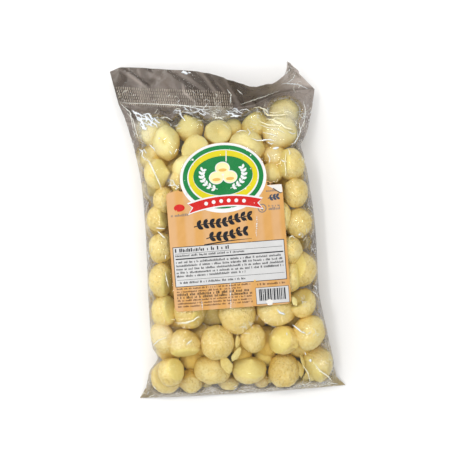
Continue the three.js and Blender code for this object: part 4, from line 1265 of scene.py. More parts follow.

# %% [markdown]
# ## Creases with painted glints
# A sharp crease in film is round enough to mirror a lamp somewhere along it, and so it shows a thin bright
# line. Such lines are finer than any mesh of the whole film. So each one is a thin ridge of its own, with a
# pale material that paints the glint on, bright from wherever one looks: its line is drawn in plan, and rays
# dropped on the film give its height. The long ones are listed one by one, and small ones gather in bunches
# where the film is slack.

# %% Film: where the painted glints run
PAINTED_GLINTS = [  # width, how yellow, then the x, y of its corners
    (0.8, 0, (-70.5, 112.9), (-67.6, 110.0), (-63.6, 107.9), (-59.5, 105.4)),
    (0.9, 0, (-66.8, 106.6), (-63.3, 104.1), (-59.7, 103.3), (-55.6, 101.9)),
    (1.5, 0, (-63.9, 98.4), (-61.4, 96.5), (-59.0, 93.6)),
    (1.0, 0, (-61.4, 107.7), (-56.1, 107.7), (-54.3, 103.9), (-51.9, 101.5)),
    (1.0, 0, (-57.4, 105.2), (-54.7, 100.1), (-50.7, 97.1), (-49.4, 94.3)),
    (1.1, 0, (-62.5, 102.5), (-61.6, 99.2), (-60.3, 97.0)),
    (0.6, 0, (-65.0, 109.7), (-62.2, 105.4), (-63.4, 101.4), (-58.8, 98.5)),
    (0.6, 0, (-61.0, 101.1), (-57.2, 97.5), (-53.8, 98.8), (-55.9, 103.1)),
    (0.5, 0.3, (-46.4, 103.1), (-41.7, 102.6), (-36.7, 99.0)),
    (0.9, 0, (-35.9, 107.9), (-30.5, 108.2), (-30.4, 104.7), (-29.1, 101.4), (-26.3, 97.4)),
    (0.8, 0, (-28.6, 106.2), (-21.5, 103.9), (-18.1, 104.6), (-13.0, 107.8), (-11.7, 105.0), (-6.7, 102.4)),
    (0.6, 0, (-22.4, 109.3), (-20.6, 106.4)),
    (0.6, 0, (-11.9, 103.4), (-9.4, 102.1)),
    (0.4, 0.2, (-17.0, 108.3), (-10.6, 106.5), (-4.0, 107.5)),
    (1.2, 0, (6.0, 101.2), (12.3, 101.1), (13.2, 98.9), (19.5, 97.8)),
    (0.8, 0, (12.1, 104.9), (15.5, 106.1), (17.3, 102.2), (20.6, 99.8)),
    (1.0, 0, (9.9, 98.1), (13.2, 98.6), (16.3, 96.9)),
    (0.6, 0.2, (17.9, 103.3), (24.3, 103.7), (27.2, 100.8)),
    (0.7, 0.7, (29.7, 104.2), (35.0, 104.2), (37.9, 101.4), (38.4, 95.9)),
    (1.1, 1, (37.7, 99.8), (40.5, 95.7), (47.8, 94.5), (55.3, 94.8), (57.3, 93.5)),
    (0.6, 1, (41.0, 98.6), (45.7, 96.9), (51.5, 97.6)),
    (1.3, 1, (38.1, 92.8), (44.3, 91.1), (49.3, 87.4), (53.1, 83.3), (60.4, 81.1)),
    (1.0, 1, (32.7, 91.3), (39.7, 87.3), (49.1, 85.3)),
    (0.6, 0.8, (41.7, 89.6), (46.1, 92.4), (52.4, 90.6)),
    (0.5, 0.6, (32.6, 88.4), (39.6, 84.9), (46.8, 82.5), (52.9, 78.7)),
    (0.6, 0.4, (22.6, 86.3), (24.4, 82.4), (22.5, 79.4)),
    (0.8, 0.2, (24.9, 77.1), (30.0, 74.9), (38.5, 75.2), (43.7, 73.6)),
    (0.6, 0.2, (37.3, 73.2), (40.3, 71.3), (42.4, 71.7)),
    (1.4, 0, (41.0, 67.6), (43.7, 67.5), (46.4, 68.2)),
    (0.6, 0.2, (56.2, 69.8), (59.4, 71.0), (63.1, 75.5), (62.9, 80.8)),
    (0.5, 0.3, (54.7, 80.1), (58.6, 78.1), (62.0, 79.0)),
    (0.6, 0.6, (53.2, 66.9), (54.4, 63.6), (53.6, 60.6)),
    (0.6, 1, (51.3, 63.9), (49.3, 54.5), (49.6, 47.1), (48.3, 44.0)),
    (0.6, 0.3, (46.4, 58.0), (49.4, 55.6)),
    (0.7, 0.1, (33.6, 56.0), (40.9, 55.3), (41.4, 50.0)),
    (0.6, 0.5, (36.0, 64.0), (38.0, 59.7), (36.8, 55.7)),
    (0.7, 0.1, (-67.3, 79.7), (-63.4, 76.0), (-64.8, 72.9), (-60.9, 69.4)),
    (0.6, 0.1, (-66.7, 75.5), (-62.4, 78.0), (-60.3, 74.1)),
    (0.6, 0.1, (-57.6, 81.3), (-53.7, 77.2), (-52.9, 75.0)),
    (0.6, 0.5, (-63.9, 70.4), (-57.9, 67.0), (-54.5, 58.2), (-50.5, 45.0)),
    (0.5, 0.6, (-60.6, 70.9), (-56.6, 62.3), (-51.9, 51.2), (-50.3, 42.9)),
    (0.6, 0.4, (-43.8, 50.4), (-40.6, 49.7), (-39.1, 45.9), (-43.3, 45.8), (-41.5, 49.4)),
    (0.6, 0.3, (-39.3, 46.3), (-37.1, 44.1), (-38.9, 41.8)),
    (0.5, 0.4, (-41.1, 73.9), (-39.4, 70.4)),
    (0.5, 0.4, (-34.9, 74.5), (-37.3, 71.5)),
    (0.8, 0.1, (-49.2, 85.3), (-48.1, 84.2)),
    (0.9, 0.7, (-48.9, -63.4), (-40.8, -64.1), (-34.7, -62.4), (-29.7, -59.3)),
    (1.0, 0, (31.7, -60.0), (34.3, -63.2), (38.2, -64.8)),
    (0.7, 0.1, (42.7, -73.4), (46.0, -76.0), (49.7, -79.9), (53.0, -81.4)),
    (0.7, 0.5, (37.8, -79.3), (38.1, -81.7)),
    (0.6, 0.5, (-42.7, -81.5), (-40.0, -79.5), (-37.4, -77.9)),
    (0.4, 0.2, (-71.9, -83.9), (-68.7, -79.6), (-64.2, -75.9), (-57.5, -74.1)),
    (0.5, 0.2, (51.0, -96.9), (51.9, -100.1)),
    (1.4, 0.2, (54.9, -103.6), (55.9, -106.4)),
    (0.7, 0.7, (58.2, -107.7), (62.2, -113.9), (68.7, -119.9), (73.6, -127.6)),
    (0.5, 0.8, (48.8, -108.0), (52.7, -115.4), (54.6, -125.8)),
    (0.6, 0.1, (75.6, -121.1), (81.1, -124.0), (80.5, -130.7), (72.4, -128.7)),
    (0.5, 0.3, (68.2, -131.3), (74.1, -130.6), (79.8, -132.4)),
    (0.6, 0.1, (-88.2, -123.9), (-81.8, -120.9), (-79.3, -118.7), (-77.3, -123.8)),
    (0.5, 0.2, (-80.9, -112.6), (-78.0, -117.1), (-80.1, -121.9)),
    (0.6, 0.2, (-74.1, -115.7), (-72.0, -118.3)),
    (0.6, 0.2, (-72.8, -92.7), (-66.6, -89.2), (-64.6, -86.4)),
    (0.6, 0.5, (-58.0, 13.4), (-50.3, 12.2)),
    (0.7, 0.4, (-56.9, 10.9), (-52.7, 6.3), (-51.0, 4.4)),
    (0.6, 0.5, (-51.8, -8.5), (-52.6, -12.1)),
    (0.5, 0.6, (-53.6, -22.2), (-52.9, -28.8), (-52.0, -34.5)),
    (1.0, 0.1, (54.9, -2.7), (56.8, -3.3)),
    (0.6, 0.6, (46.9, -4.7), (49.8, -3.1), (51.9, -5.6)),
    (0.6, 0.2, (63.4, -44.7), (66.0, -46.8), (66.7, -49.7)),
    (0.5, 0.2, (61.8, -48.9), (64.8, -51.6), (67.6, -56.8)),
    (1.8, 0, (-26.6, 139.1), (-24.1, 138.8), (-21.4, 136.8)),
    (0.7, 0, (-20.9, 138.0), (-18.5, 137.6)),
    (0.6, 0.2, (56.2, 125.1), (60.7, 129.7), (63.2, 133.9)),
    (0.5, 0.2, (58.2, 120.8), (64.3, 124.4), (67.4, 129.8)),
    (0.5, 0.1, (53.2, 119.7), (58.2, 120.7), (68.1, 120.3), (76.7, 116.2)),
    (0.6, 0.2, (9.6, 120.3), (12.4, 116.4), (11.3, 109.3)),
    (0.5, 0.3, (-79.9, 119.8), (-62.4, 117.4), (-38.0, 114.0), (-13.5, 110.0), (7.5, 107.8)),
    (0.6, 0.1, (-31.8, 113.5), (-22.8, 110.9), (-12.3, 107.1), (-6.5, 112.8)),
    (0.5, 0.2, (17.6, 118.7), (21.8, 114.6)),
    (0.5, 0.3, (-79.6, 119.3), (-71.5, 110.3), (-70.4, 96.3)),
    (0.4, 0.3, (-74.0, 109.8), (-69.6, 104.4), (-68.7, 97.0), (-66.4, 87.8)),
    (0.4, 0.3, (70.9, 106.4), (72.1, 98.9), (70.3, 89.3), (64.4, 79.2)),
    (0.3, 0.4, (19.1, 108.1), (30.8, 110.3), (42.7, 113.3), (52.9, 116.4)),
    (0.4, 0.3, (-6.2, 100.8), (0.0, 97.7), (6.6, 98.7)),
    (1.3, 0, (-69.8, 111.4), (-66.7, 109.1), (-64.4, 108.4)),
    (1.0, 0, (-64.6, 106.0), (-62.6, 101.3), (-64.6, 97.8)),
    (1.2, 0, (-59.6, 107.1), (-57.5, 102.9), (-59.4, 100.2)),
    (0.8, 0, (-55.6, 105.9), (-53.6, 101.2), (-54.9, 96.5)),
    (1.0, 0, (-66.4, 104.1), (-63.3, 102.6), (-60.7, 104.4)),
    (1.3, 0, (-63.0, 96.8), (-60.7, 95.0), (-58.2, 95.6)),
    (0.7, 0, (-57.8, 100.4), (-55.6, 97.4), (-52.5, 95.4)),
    (0.8, 0, (-52.5, 104.0), (-49.7, 99.6), (-46.6, 97.7)),
    (0.6, 0, (-67.6, 109.1), (-65.6, 104.0), (-64.2, 101.5)),
    (0.9, 0, (-27.3, 111.4), (-25.1, 108.3), (-22.8, 106.9)),
    (0.7, 0, (-15.6, 105.7), (-13.4, 102.7), (-10.3, 101.1)),
    (0.7, 0, (7.2, 104.8), (9.5, 102.5), (8.3, 99.3)),
    (1.0, 0.1, (11.9, 102.7), (14.5, 103.6), (16.7, 101.0)),
    (0.7, 0.6, (36.5, 102.7), (39.6, 101.2), (40.9, 97.8)),
    (0.8, 0.8, (43.5, 90.6), (47.2, 87.4), (52.0, 86.1)),
    (0.6, 0.7, (53.0, 96.2), (57.2, 97.1), (60.2, 95.1)),
    (0.6, 0.5, (34.4, 81.7), (40.7, 79.4), (46.2, 76.9)),
    (0.6, 0.4, (13.3, 83.3), (17.6, 85.0), (21.5, 83.4)),
    (0.7, 0.2, (65.2, 87.3), (65.8, 80.7), (63.2, 75.2)),
    (0.6, 0.3, (-3.3, 97.6), (0.9, 98.0), (4.7, 96.0)),
]
print(len(PAINTED_GLINTS), "long bright creases")


# %% Film: small painted glints in bunches
BUNCHES, BUNCH_SIZE, BUNCH_SPREAD = 42, 6, 3.0
BUNCH_REACH = 8  # no bunch lies further beyond the seal's line


def small_painted_glints():
    """Short crooked painted glints in bunches, as rows like the table's."""
    rng = np.random.default_rng(33)
    made = []
    while len(made) < BUNCHES * BUNCH_SIZE:
        a, t = rng.uniform(0, 1), rng.uniform(-BODY_LENGTH, BUNCH_REACH)
        row, column = np.searchsorted(sheet_t, t), int(a * ACROSS)
        slack_here = slack[row, column] if t < 0 else 0.8
        if rng.random() > slack_here - 0.15:
            continue
        middle = np.array(plan_point(a, 1 + t / BODY_LENGTH)) if t < 0 else header_point(a, t)[:2]
        way = rng.uniform(0, math.pi)
        for _ in range(BUNCH_SIZE):
            line = [middle + rng.normal(size=2) * BUNCH_SPREAD]
            heading = way + rng.normal() * 0.6
            for _ in range(rng.integers(1, 4)):
                step = rng.uniform(1.0, 3.2) * np.array([math.cos(heading), math.sin(heading)])
                line.append(line[-1] + step)
                heading += rng.normal() * 0.9
            made.append((rng.uniform(0.10, 0.30), rng.uniform(0, 0.6), *line))
    return made


all_painted_glints = PAINTED_GLINTS + small_painted_glints()
print(len(all_painted_glints), "bright creases in all")


# %% Film: the painted glints
RIDGE_STEP, RIDGE_HEIGHT, RIDGE_GIRTH = 0.7, 0.22, 1.9


def ridge(crease, rng):
    """One crease as a thin three-sided bar with pointed ends, or nothing where it misses the film."""
    width, tint, *corners = crease
    corners = np.array(corners, float)
    run = np.concatenate([[0], np.cumsum(np.hypot(*np.diff(corners, axis=0).T))])
    share = np.linspace(0, 1, max(int(run[-1] / RIDGE_STEP), 3) + 1)
    x, y = [
        np.interp(share * run[-1], run, corners[:, k]) + rng.normal(size=len(share)) * 0.10 for k in (0, 1)
    ]
    hits = [film_tree.ray_cast((px, py, 200), DOWN)[:2] for px, py in zip(x, y)]
    bare_here = np.all(label_depth(x, y) < -1) and all(hit is not None for hit, _ in hits)
    if not bare_here:
        return None
    spots, out = np.array([hit for hit, _ in hits]), np.array([normal for _, normal in hits])
    side = unit(np.cross(out, np.gradient(spots, axis=0)))
    taper = np.clip(4 * share * (1 - share), 0.04, 1) ** 0.7
    girth = RIDGE_GIRTH * width * taper * rng.uniform(0.6, 1.25, len(share))
    left, right = spots + side * girth[:, None] / 2, spots - side * girth[:, None] / 2
    top = spots + out * (RIDGE_HEIGHT * girth / width)[:, None]
    points = np.stack([left, right, top], axis=1).reshape(-1, 3)
    faces = [[0, 2, 1]]
    for k in range(0, len(points) - 3, 3):
        faces += [[k + i, k + (i + 1) % 3, k + 3 + (i + 1) % 3, k + 3 + i] for i in range(3)]
    last = len(points) - 3
    faces.append([last, last + 1, last + 2])
    return points, faces, np.full(len(points), tint)


def painted_glint_material():
    """Painted glints: pale film, bright from every way, from bluish white to yellowish white."""
    paint = Finish("painted glint")
    tint = paint.mixed(paint.number("tint"), (0.90, 0.95, 1.0), (1.0, 0.93, 0.62))
    pressed = paint.shader("Principled", Base_Color=tint, Roughness=0.3)
    return paint.done(paint.blend(0.95, paint.shader("Transparent"), pressed))


film_tree = BVHTree.FromPolygons(film_points.tolist(), film_quads.tolist())
ridge_rng = np.random.default_rng(34)
ridges = [made for made in (ridge(crease, ridge_rng) for crease in all_painted_glints) if made]
ridge_points, ridge_faces, ridge_tints = join(ridges)
ridge_mesh = make_mesh("bright_creases", (ridge_points + SHIFT) * MM, ridge_faces, {"tint": ridge_tints})
glints = make_piece("bright_creases", ridge_mesh, painted_glint_material())
print(f"bright_creases: {len(ridges)} lie on bare film, {triangles(ridge_mesh):,} triangles")

# %% [markdown]
# ## The crimped seal
# Hot ribbed jaws close the bag: they leave rows of fine upright ribs, and the film between them is cloudy.
# It is hundreds of equal little bars that follow the leaning header, so the scatter tree places them, each
# turned to the header's own axes. Because there are so many, one bar has only six faces.

# %% Seal: ribs
RIB_ROWS, RIB_ROW_PITCH = 6, 2.6
RIB_STEP = 1.75 / 162.0  # pitch over the header's width
RIB_SIZE = (0.85, 2.2, 0.35)
RIB_BANDS = [(0.012, 0.575, 1.2), (0.885, 0.985, 14.0)]  # from, to, height above the seal's line


def bar_mesh():
    """A little bar with sloping sides, one wide, one long and one high."""
    points = [(x, y, 0) for y in (-0.5, 0.5) for x in (-0.5, 0.5)]
    points += [(x * 0.45, y * 0.8, 1) for y in (-0.5, 0.5) for x in (-0.5, 0.5)]
    faces = [(0, 2, 3, 1), (4, 5, 7, 6), (0, 1, 5, 4), (1, 3, 7, 5), (3, 2, 6, 7), (2, 0, 4, 6)]
    return make_mesh("rib", points, faces)


def rib_places():
    """Places, turns and sizes of the ribs, on both bands and both sides of the header."""
    rng = np.random.default_rng(21)
    places, turns, sizes = [], [], []
    for start, end, lift in RIB_BANDS:
        for row in range(RIB_ROWS):
            for a in np.arange(start, end, RIB_STEP):
                spot = a + rng.normal() * 0.0004
                reach = lift + row * RIB_ROW_PITCH + rng.normal() * 0.08
                across, out = header_axes(spot, reach)
                i = int(round(spot * ACROSS))
                j = BODY_ROWS + int(round(reach / HEADER_LENGTH * HEADER_ROWS))
                lifted = header_crumple(crumple[j, i], reach) + FILM_HALF * 0.6
                places.append(header_point(spot, reach) + out * lifted)
                axes = np.stack([across, np.cross(out, across), out], axis=1)
                turns.append(tuple(Matrix(axes.tolist()).to_euler()))
                sizes.append(np.array(RIB_SIZE) * (1, rng.uniform(0.85, 1.1), rng.uniform(0.6, 1.1)))
    return np.array(places), turns, sizes


def seal_material():
    """Cloudy film, pressed white along the ribs."""
    paint = Finish("crimped film")
    cloud = paint.noise(90.0, 3.0)
    colour = paint.mixed(paint.ramp(cloud, 0.35, 0.65), (0.30, 0.255, 0.205), (0.50, 0.44, 0.36))
    pressed = paint.shader("Principled", Base_Color=colour, Roughness=0.32)
    return paint.done(paint.blend(paint.ramp(cloud, -0.6, 0.75), paint.shader("Transparent"), pressed))


rib_spots, rib_turns, rib_sizes = rib_places()
rib_kinds = np.zeros(len(rib_spots))
seal_ribs = scatter(
    "seal_ribs", rib_spots, rib_kinds, rib_turns, rib_sizes, [bar_mesh()], seal_material(),
)

# %% [markdown]
# ## The sticker's sheet
# The sticker is a printed sheet on the stiffened film. All of it is drawn flat first, in millimetres from its
# middle: the sheet, and every printed shape as a polygon on a level of its own just above it. Then the flat
# drawing is cut along a fine grid and laid on the film by one function, so paper and print bend together. An
# image would be the usual way to print a label, but shapes stay sharp at any distance.

# %% Sticker: laying it on the film
LABEL_LIFT, PAPER, LAYER = 0.35, 0.22, 0.06  # lift off the film, paper's thickness, step between inks
PAPER_CREASES = [  # from, to, height
    ((24, 23), (22.5, 6), 0.40), ((-1, -26), (-2, -47), 0.36), ((-25, -38), (-24, -47), 0.32),
    ((-46, 30), (-20, 12), 0.28), ((-30, 46), (-38, 20), 0.24), ((8, 44), (14, 10), 0.20),
]
PAPER_CREASE_WIDTH = 3.0
label_height = disc_mean(upper_film, 3)


def label_creases(u, v):
    """Fine dents and creases in the paper, and its lifted upper right corner."""
    flat = np.stack([u, v], axis=1)
    dents = 0.18 * lumps(flat, 16.0, 31) + 0.07 * lumps(flat, 5.0, 32)
    for start, end, height in PAPER_CREASES:
        dents = dents + crease_line(u, v, start, end, height, PAPER_CREASE_WIDTH)
    corner = smooth_step(0, 9, (u - 38.0) * 0.55 + (v - 42.0) * 0.83) * smooth_step(33, 37, u)
    return np.maximum(dents + 0.25, 0) + 1.1 * corner


def lay_label(u, v, level):
    """Flat places on the sticker to points on the film, in millimetres."""
    x, y = from_label(u, v)
    z = sample(label_height, x, y) + LABEL_LIFT + label_creases(u, v) + level
    return np.stack([x, y, z], axis=-1)


print(f"the paper has {len(PAPER_CREASES)} creases")


# %% Sticker: the drawing's tools
drawing = []  # ink, level, corners


def shape(ink, level, corners):
    """A printed polygon."""
    drawing.append((ink, level, [tuple(corner) for corner in corners]))


def box(ink, level, left, right, low, high):
    """A printed upright rectangle."""
    shape(ink, level, [(left, low), (right, low), (right, high), (left, high)])


def oval(ink, level, u, v, half_width, half_height, count=56):
    """A printed oval with this many corners."""
    turns = np.radians(np.linspace(0, 360, count, endpoint=False))
    shape(ink, level, [(u + half_width * math.cos(t), v + half_height * math.sin(t)) for t in turns])


def stroke(ink, level, line, widths):
    """A brush stroke along a line, with a width at each of its points."""
    line, widths = np.array(line, float), np.broadcast_to(widths, len(line))
    way = unit(np.gradient(line, axis=0))
    side = np.stack([-way[:, 1], way[:, 0]], axis=1) * widths[:, None] / 2
    low, high = line - side, line + side
    for k in range(len(line) - 1):
        shape(ink, level, [low[k], low[k + 1], high[k + 1], high[k]])


def words(ink, level, left, right, middle, height, seed):
    """A row of small print, too fine to read: short blocks with wider gaps here and there."""
    rng = np.random.default_rng(seed)
    at, foot = left, middle - height * 0.36
    while at < right - height * 0.5:
        wide = height * rng.uniform(0.18, 0.36)
        tall = height * rng.choice([0.62, 0.7, 0.8, 1.0])
        box(ink, level, at, min(at + wide, right), foot, foot + tall)
        at += wide + height * (rng.uniform(0.10, 0.24) if rng.random() > 0.14 else 0.85)


print("tools: shape, box, oval, stroke and words")

# %% [markdown]
# ## What is printed on it
# A fresh design of plain parts: a table of small blocks in a white box, bars for a code, two leafy branches
# in the place of a title, a sprig, and an oval crest with round breads between two leafy sprays over a red
# ribbon. Print goes down in levels, as inks do: white under colours, dark lines last.

# %% Sticker: sheet and table
def sheet_outline():
    """The cut edge: a square sheet with round corners, and the crest's oval over its upper edge."""
    half_u, half_v, r = LABEL_WIDTH / 2, LABEL_LENGTH / 2, LABEL_CORNER

    def corner(side_u, side_v, start):
        """Points round one corner, whose arc starts at this many degrees."""
        turns = [math.radians(start + k * 15) for k in range(7)]
        centre_u, centre_v = side_u * (half_u - r), side_v * (half_v - r)
        return [(centre_u + r * math.cos(turn), centre_v + r * math.sin(turn)) for turn in turns]

    outline = corner(-1, -1, 180) + corner(1, -1, 270) + corner(1, 1, 0)
    meeting = math.degrees(math.asin((half_v - CREST_CENTRE) / CREST_HALF_HEIGHT))
    for turn in np.radians(np.linspace(meeting, 180 - meeting, 60)):
        outline.append((CREST_HALF_WIDTH * math.cos(turn), CREST_CENTRE + CREST_HALF_HEIGHT * math.sin(turn)))
    return outline + corner(-1, 1, 90)


box("ink", 1, -44.3, 44.3, -28.0, 3.8)
box("white", 2, -43.8, 43.8, -27.5, 3.3)
words("ink", 3, -42.5, 2.5, 0.6, 2.9, 41)
box("ink", 3, -42.5, 42.5, -1.75, -1.5)
words("ink", 3, -42.5, 14.0, -3.4, 1.7, 42)
box("ink", 3, -42.5, 43.0, -6.3, -5.4)
for row in range(5):
    words("ink", 3, -42.5, 42.8 if row < 4 else 14.0, -8.6 - row * 2.75, 1.75, 43 + row)
box("ink", 3, -42.5, 42.5, -22.6, -22.35)
words("ink", 3, -40.5, 12.0, -24.9, 1.7, 49)
LOWER_ROWS = [(16, 1.4), (8, 1.4), (15.5, 2.2), (16.5, 2.2), (16, 1.4), (16.5, 1.4), (16, 1.4)]  # end, height
for row, (end, high) in enumerate(LOWER_ROWS):
    words("ink" if high > 2 else "brown ink", 1, -43.5, end, -29.6 - row * 2.35, high, 51 + row)
words("brown ink", 1, 20.5, 43.5, -30.6, 1.7, 59)
print(f"the table has {len(drawing)} shapes")

# %% Sticker: code, title and small signs
box("ink", 1, 18.7, 45.0, -46.4, -33.0)
box("white", 2, 19.0, 44.7, -46.1, -33.3)
code_rng = np.random.default_rng(61)
bar_at = 21.3
while bar_at < 42.3:
    bar_wide = 0.36 * code_rng.integers(1, 4)
    box("ink", 3, bar_at, bar_at + bar_wide, -43.6, -34.4)
    bar_at += bar_wide + 0.36 * code_rng.integers(1, 3)
torn = [
    (29.2 + (2.7 + 0.5 * math.sin(5 * t)) * math.cos(t), -45.2 + 2.4 * math.sin(t))
    for t in np.linspace(0, 6.0, 24)
]
shape("worn paper", 4, torn)


def leaf(ink, level, u, v, degrees, length):
    """A printed pointed leaf that starts at u, v."""
    c, d = math.cos(math.radians(degrees)), math.sin(math.radians(degrees))
    across = [(t * length, 0.28 * length * math.sin(math.pi * t) ** 0.8) for t in np.linspace(0, 1, 9)]
    outline = across + [(t, -w) for t, w in across[-2:0:-1]]
    shape(ink, level, [(u + t * c - w * d, v + t * d + w * c) for t, w in outline])


def branch(ink, level, stem, length, thick):
    """A printed stem with a pair of leaves at every second point."""
    stroke(ink, level, stem, thick)
    for (u, v), (next_u, next_v) in list(zip(stem, stem[1:]))[1::2]:
        heading = math.degrees(math.atan2(next_v - v, next_u - u))
        leaf(ink, level, u, v, heading + 42, length)
        leaf(ink, level, u, v, heading - 42, length)


for start, end, low, rise, count in ((-26.0, 19.0, 18.6, 5.2, 19), (-17.0, 15.0, 8.6, 3.6, 13)):
    t = np.linspace(0, 1, count)
    stem = np.stack([start + (end - start) * t, low + rise * t + 0.8 * np.sin(9 * t)], axis=1)
    branch("ink", 1, stem, 5.6, 0.8)
t = np.linspace(0, 1, 14)
underline = np.stack([-19 + 38 * t, 3.9 + 2.2 * t + 0.6 * np.sin(3 * t)], axis=1)
stroke("ink", 1, underline, 1.0 - 0.8 * t**2)
oval("red", 1, -36.5, 34.6, 4.3, 2.9)
words("grey ink", 1, -43.5, -29.0, 28.6, 2.0, 71)
words("grey ink", 1, 33.0, 44.2, 42.6, 1.6, 72)
branch("slate ink", 1, [(34.0 + 8.0 * t, 37.0 + 0.8 * t) for t in np.linspace(0, 1, 7)], 3.6, 0.7)
oval("grey ink", 1, 28.9, 29.4, 3.5, 3.5, count=28)
oval("orange", 2, 28.9, 29.4, 2.7, 2.7, count=28)
oval("grey ink", 3, 28.9, 29.0, 1.0, 1.6, count=14)
words("grey ink", 1, 34.0, 44.4, 30.7, 1.7, 73)
words("grey ink", 1, 34.0, 44.4, 28.3, 2.2, 74)
print(f"with code, branches and signs it has {len(drawing)} shapes")


# %% Sticker: the crest
RING_PARTS = 72


def ring(ink, level, v, outer, inner):
    """A printed oval ring round the crest's middle line, from four half sizes."""
    turns = np.radians(np.linspace(0, 360, RING_PARTS + 1))
    edges = [[(half[0] * math.cos(t), v + half[1] * math.sin(t)) for t in turns] for half in (outer, inner)]
    for k in range(RING_PARTS):
        shape(ink, level, [edges[0][k], edges[0][k + 1], edges[1][k + 1], edges[1][k]])


oval("bright white", 1, 0, CREST_CENTRE, 34.3, 27.8)
ring("green", 2, CREST_CENTRE + 0.6, (32.0, 25.2), (28.4, 21.8))
ring("yellow", 2, CREST_CENTRE + 1.0, (27.4, 20.8), (23.7, 15.4))
oval("green", 3, 0, CREST_CENTRE + 1.6, 23.5, 15.6)
spray = [(16.8 * math.sin(t), CREST_CENTRE + 2.6 - 12.0 * math.cos(t)) for t in np.linspace(0.3, 2.0, 15)]
for side in (-1, 1):
    branch("bright white", 4, [(side * u, v) for u, v in spray], 3.6, 0.5)
for u, v, size in ((-5.4, 0.2, 5.2), (5.4, 0.2, 5.2), (0, 7.4, 5.2)):
    oval("bright white", 5, u, CREST_CENTRE + v, size + 0.7, size * 0.86 + 0.7, count=32)
    oval("cream", 6, u, CREST_CENTRE + v, size, size * 0.86, count=32)
    oval("gold", 7, u, CREST_CENTRE + v - size * 0.28, size * 0.62, size * 0.24, count=20)


RIBBON_HALF = 29


def arch(u):
    """Height of the ribbon's middle line, from -1 to 1 along it."""
    return 33.2 + 4.4 * (1 - u * u)


def ribbon(ink, level, grow):
    """An arched ribbon with notched ends, drawn larger by grow."""
    t = np.linspace(-1, 1, 25)
    upper = [(x * (RIBBON_HALF + grow), arch(x) + 3.6 + grow) for x in t]
    lower = [(x * (RIBBON_HALF + grow), arch(x) - 3.6 - grow) for x in t[::-1]]
    notch = 25.4 + grow
    shape(ink, level, upper + [(notch, arch(0.9))] + lower + [(-notch, arch(0.9))])


ribbon("bright white", 4, 1.1)
ribbon("red", 5, 0.0)
for u in range(-15, 16, 6):
    oval("bright white", 6, u, arch(u / RIBBON_HALF), 1.5, 1.5, count=16)
print(f"the whole print has {len(drawing)} shapes")

# %% Sticker: wear, and a painted shadow under the lifted corner
RUBBED_CREASES = (  # from, to, how many chips of ink are gone
    ((24, 22.5), (22.7, 8.5), 9), ((-0.7, -28.5), (-1.8, -47), 13), ((-24.6, -39), (-24.4, -47), 5),
)
SCRATCHES = (  # u, lower end, upper end, width
    (3.5, 68.0, 77.5, 0.7), (3.9, 64.0, 67.0, 0.5), (-30, 44.5, 46.2, 0.6), (22.5, 60.5, 62.0, 0.8),
    (-27.0, 50.0, 52.0, 0.5),
)
wear_rng = np.random.default_rng(81)
for (u0, v0), (u1, v1), count in RUBBED_CREASES:
    for share in np.linspace(0, 1, count):
        u, v = u0 + (u1 - u0) * share + wear_rng.normal() * 0.25, v0 + (v1 - v0) * share
        wide, tall = wear_rng.uniform(0.2, 0.75), wear_rng.uniform(0.5, 1.3)
        chip = [(u - wide, v), (u - wide * 0.2, v - tall), (u + wide, v + 0.2), (u + wide * 0.3, v + tall)]
        shape("worn paper", 6, chip)
for u, low, high, wide in SCRATCHES:
    scratch = [(u - wide, low + 1), (u, low), (u + wide * 0.6, low + 2), (u + wide, high - 1)]
    shape("worn paper", 5, scratch + [(u + wide * 0.2, high)])
shape("worn paper", 4, [(34.0, 47.2), (45.6, 47.2), (46.0, 41.2), (43.8, 40.6), (39.0, 44.2)])
# painted shadow: a thin dark line under the lifted corner
shape("ink", 5, [(38.6, 44.2), (43.9, 40.2), (46.0, 40.4), (43.9, 41.0), (39.0, 44.7)])
oval("gold", 4, 18.7, -27.4, 0.9, 0.8, count=14)
print(f"with the wear it has {len(drawing)} shapes")

# %% [markdown]
# ## Inks and paper
# All of it is one coated paper with a slight sheen, so each ink is the same material with its own colour: a
# little mottled, as ink soaks in, with the paper's grain as a bump. The sheet itself has soft upright
# stripes, which read the sticker's own flat map and so follow its turn.


# %% Sticker: materials
def printed(name, colour, striped=False):
    """Coated paper printed with one colour, with soft stripes if asked."""
    paint = Finish(name + " print")
    grain, cloud = paint.noise(1600.0), paint.noise(70.0, 3.0)
    base = paint.mixed(paint.ramp(cloud, 0.3, 0.7), tuple(value * 0.93 for value in colour), colour)
    if striped:
        flat_map = paint.coordinates.outputs["UV"]
        wave = paint.node("TexWave", {"Vector": flat_map, "Scale": 2.28, "Distortion": 0.6, "Detail": 1.0})
        stripes = paint.times(paint.ramp(wave.outputs["Fac"], 0.25, 0.8), 0.75)
        base = paint.mixed(stripes, base, (0.62, 0.37, 0.18))
    base = paint.mixed(paint.times(paint.ramp(grain, 0.6, 0.8), 0.06), base, (0.95, 0.93, 0.9))
    bump = paint.bump(paint.sum_of(grain, paint.times(cloud, 2.0)), 0.25, 0.0001)
    return paint.done(paint.shader(
        "Principled", Base_Color=base, Roughness=0.42, Normal=bump, Specular_IOR_Level=0.2,
    ))


INKS = {
    "orange": (0.63, 0.335, 0.10), "white": (0.60, 0.60, 0.60), "ink": (0.006, 0.007, 0.012),
    "brown ink": (0.085, 0.035, 0.018), "grey ink": (0.20, 0.17, 0.16), "slate ink": (0.05, 0.065, 0.10),
    "green": (0.002, 0.19, 0.042), "yellow": (0.66, 0.57, 0.006), "red": (0.56, 0.008, 0.006),
    "cream": (0.90, 0.76, 0.40), "gold": (0.72, 0.43, 0.10), "bright white": (0.76, 0.77, 0.78),
    "worn paper": (0.74, 0.72, 0.68),
}
print(len(INKS), "inks")


# %% Sticker: the flat mesh
LABEL_GRID = 2.0
LABEL_BOX = ((-46, 46), (-47, 85))  # where the grid's cuts run, across and along


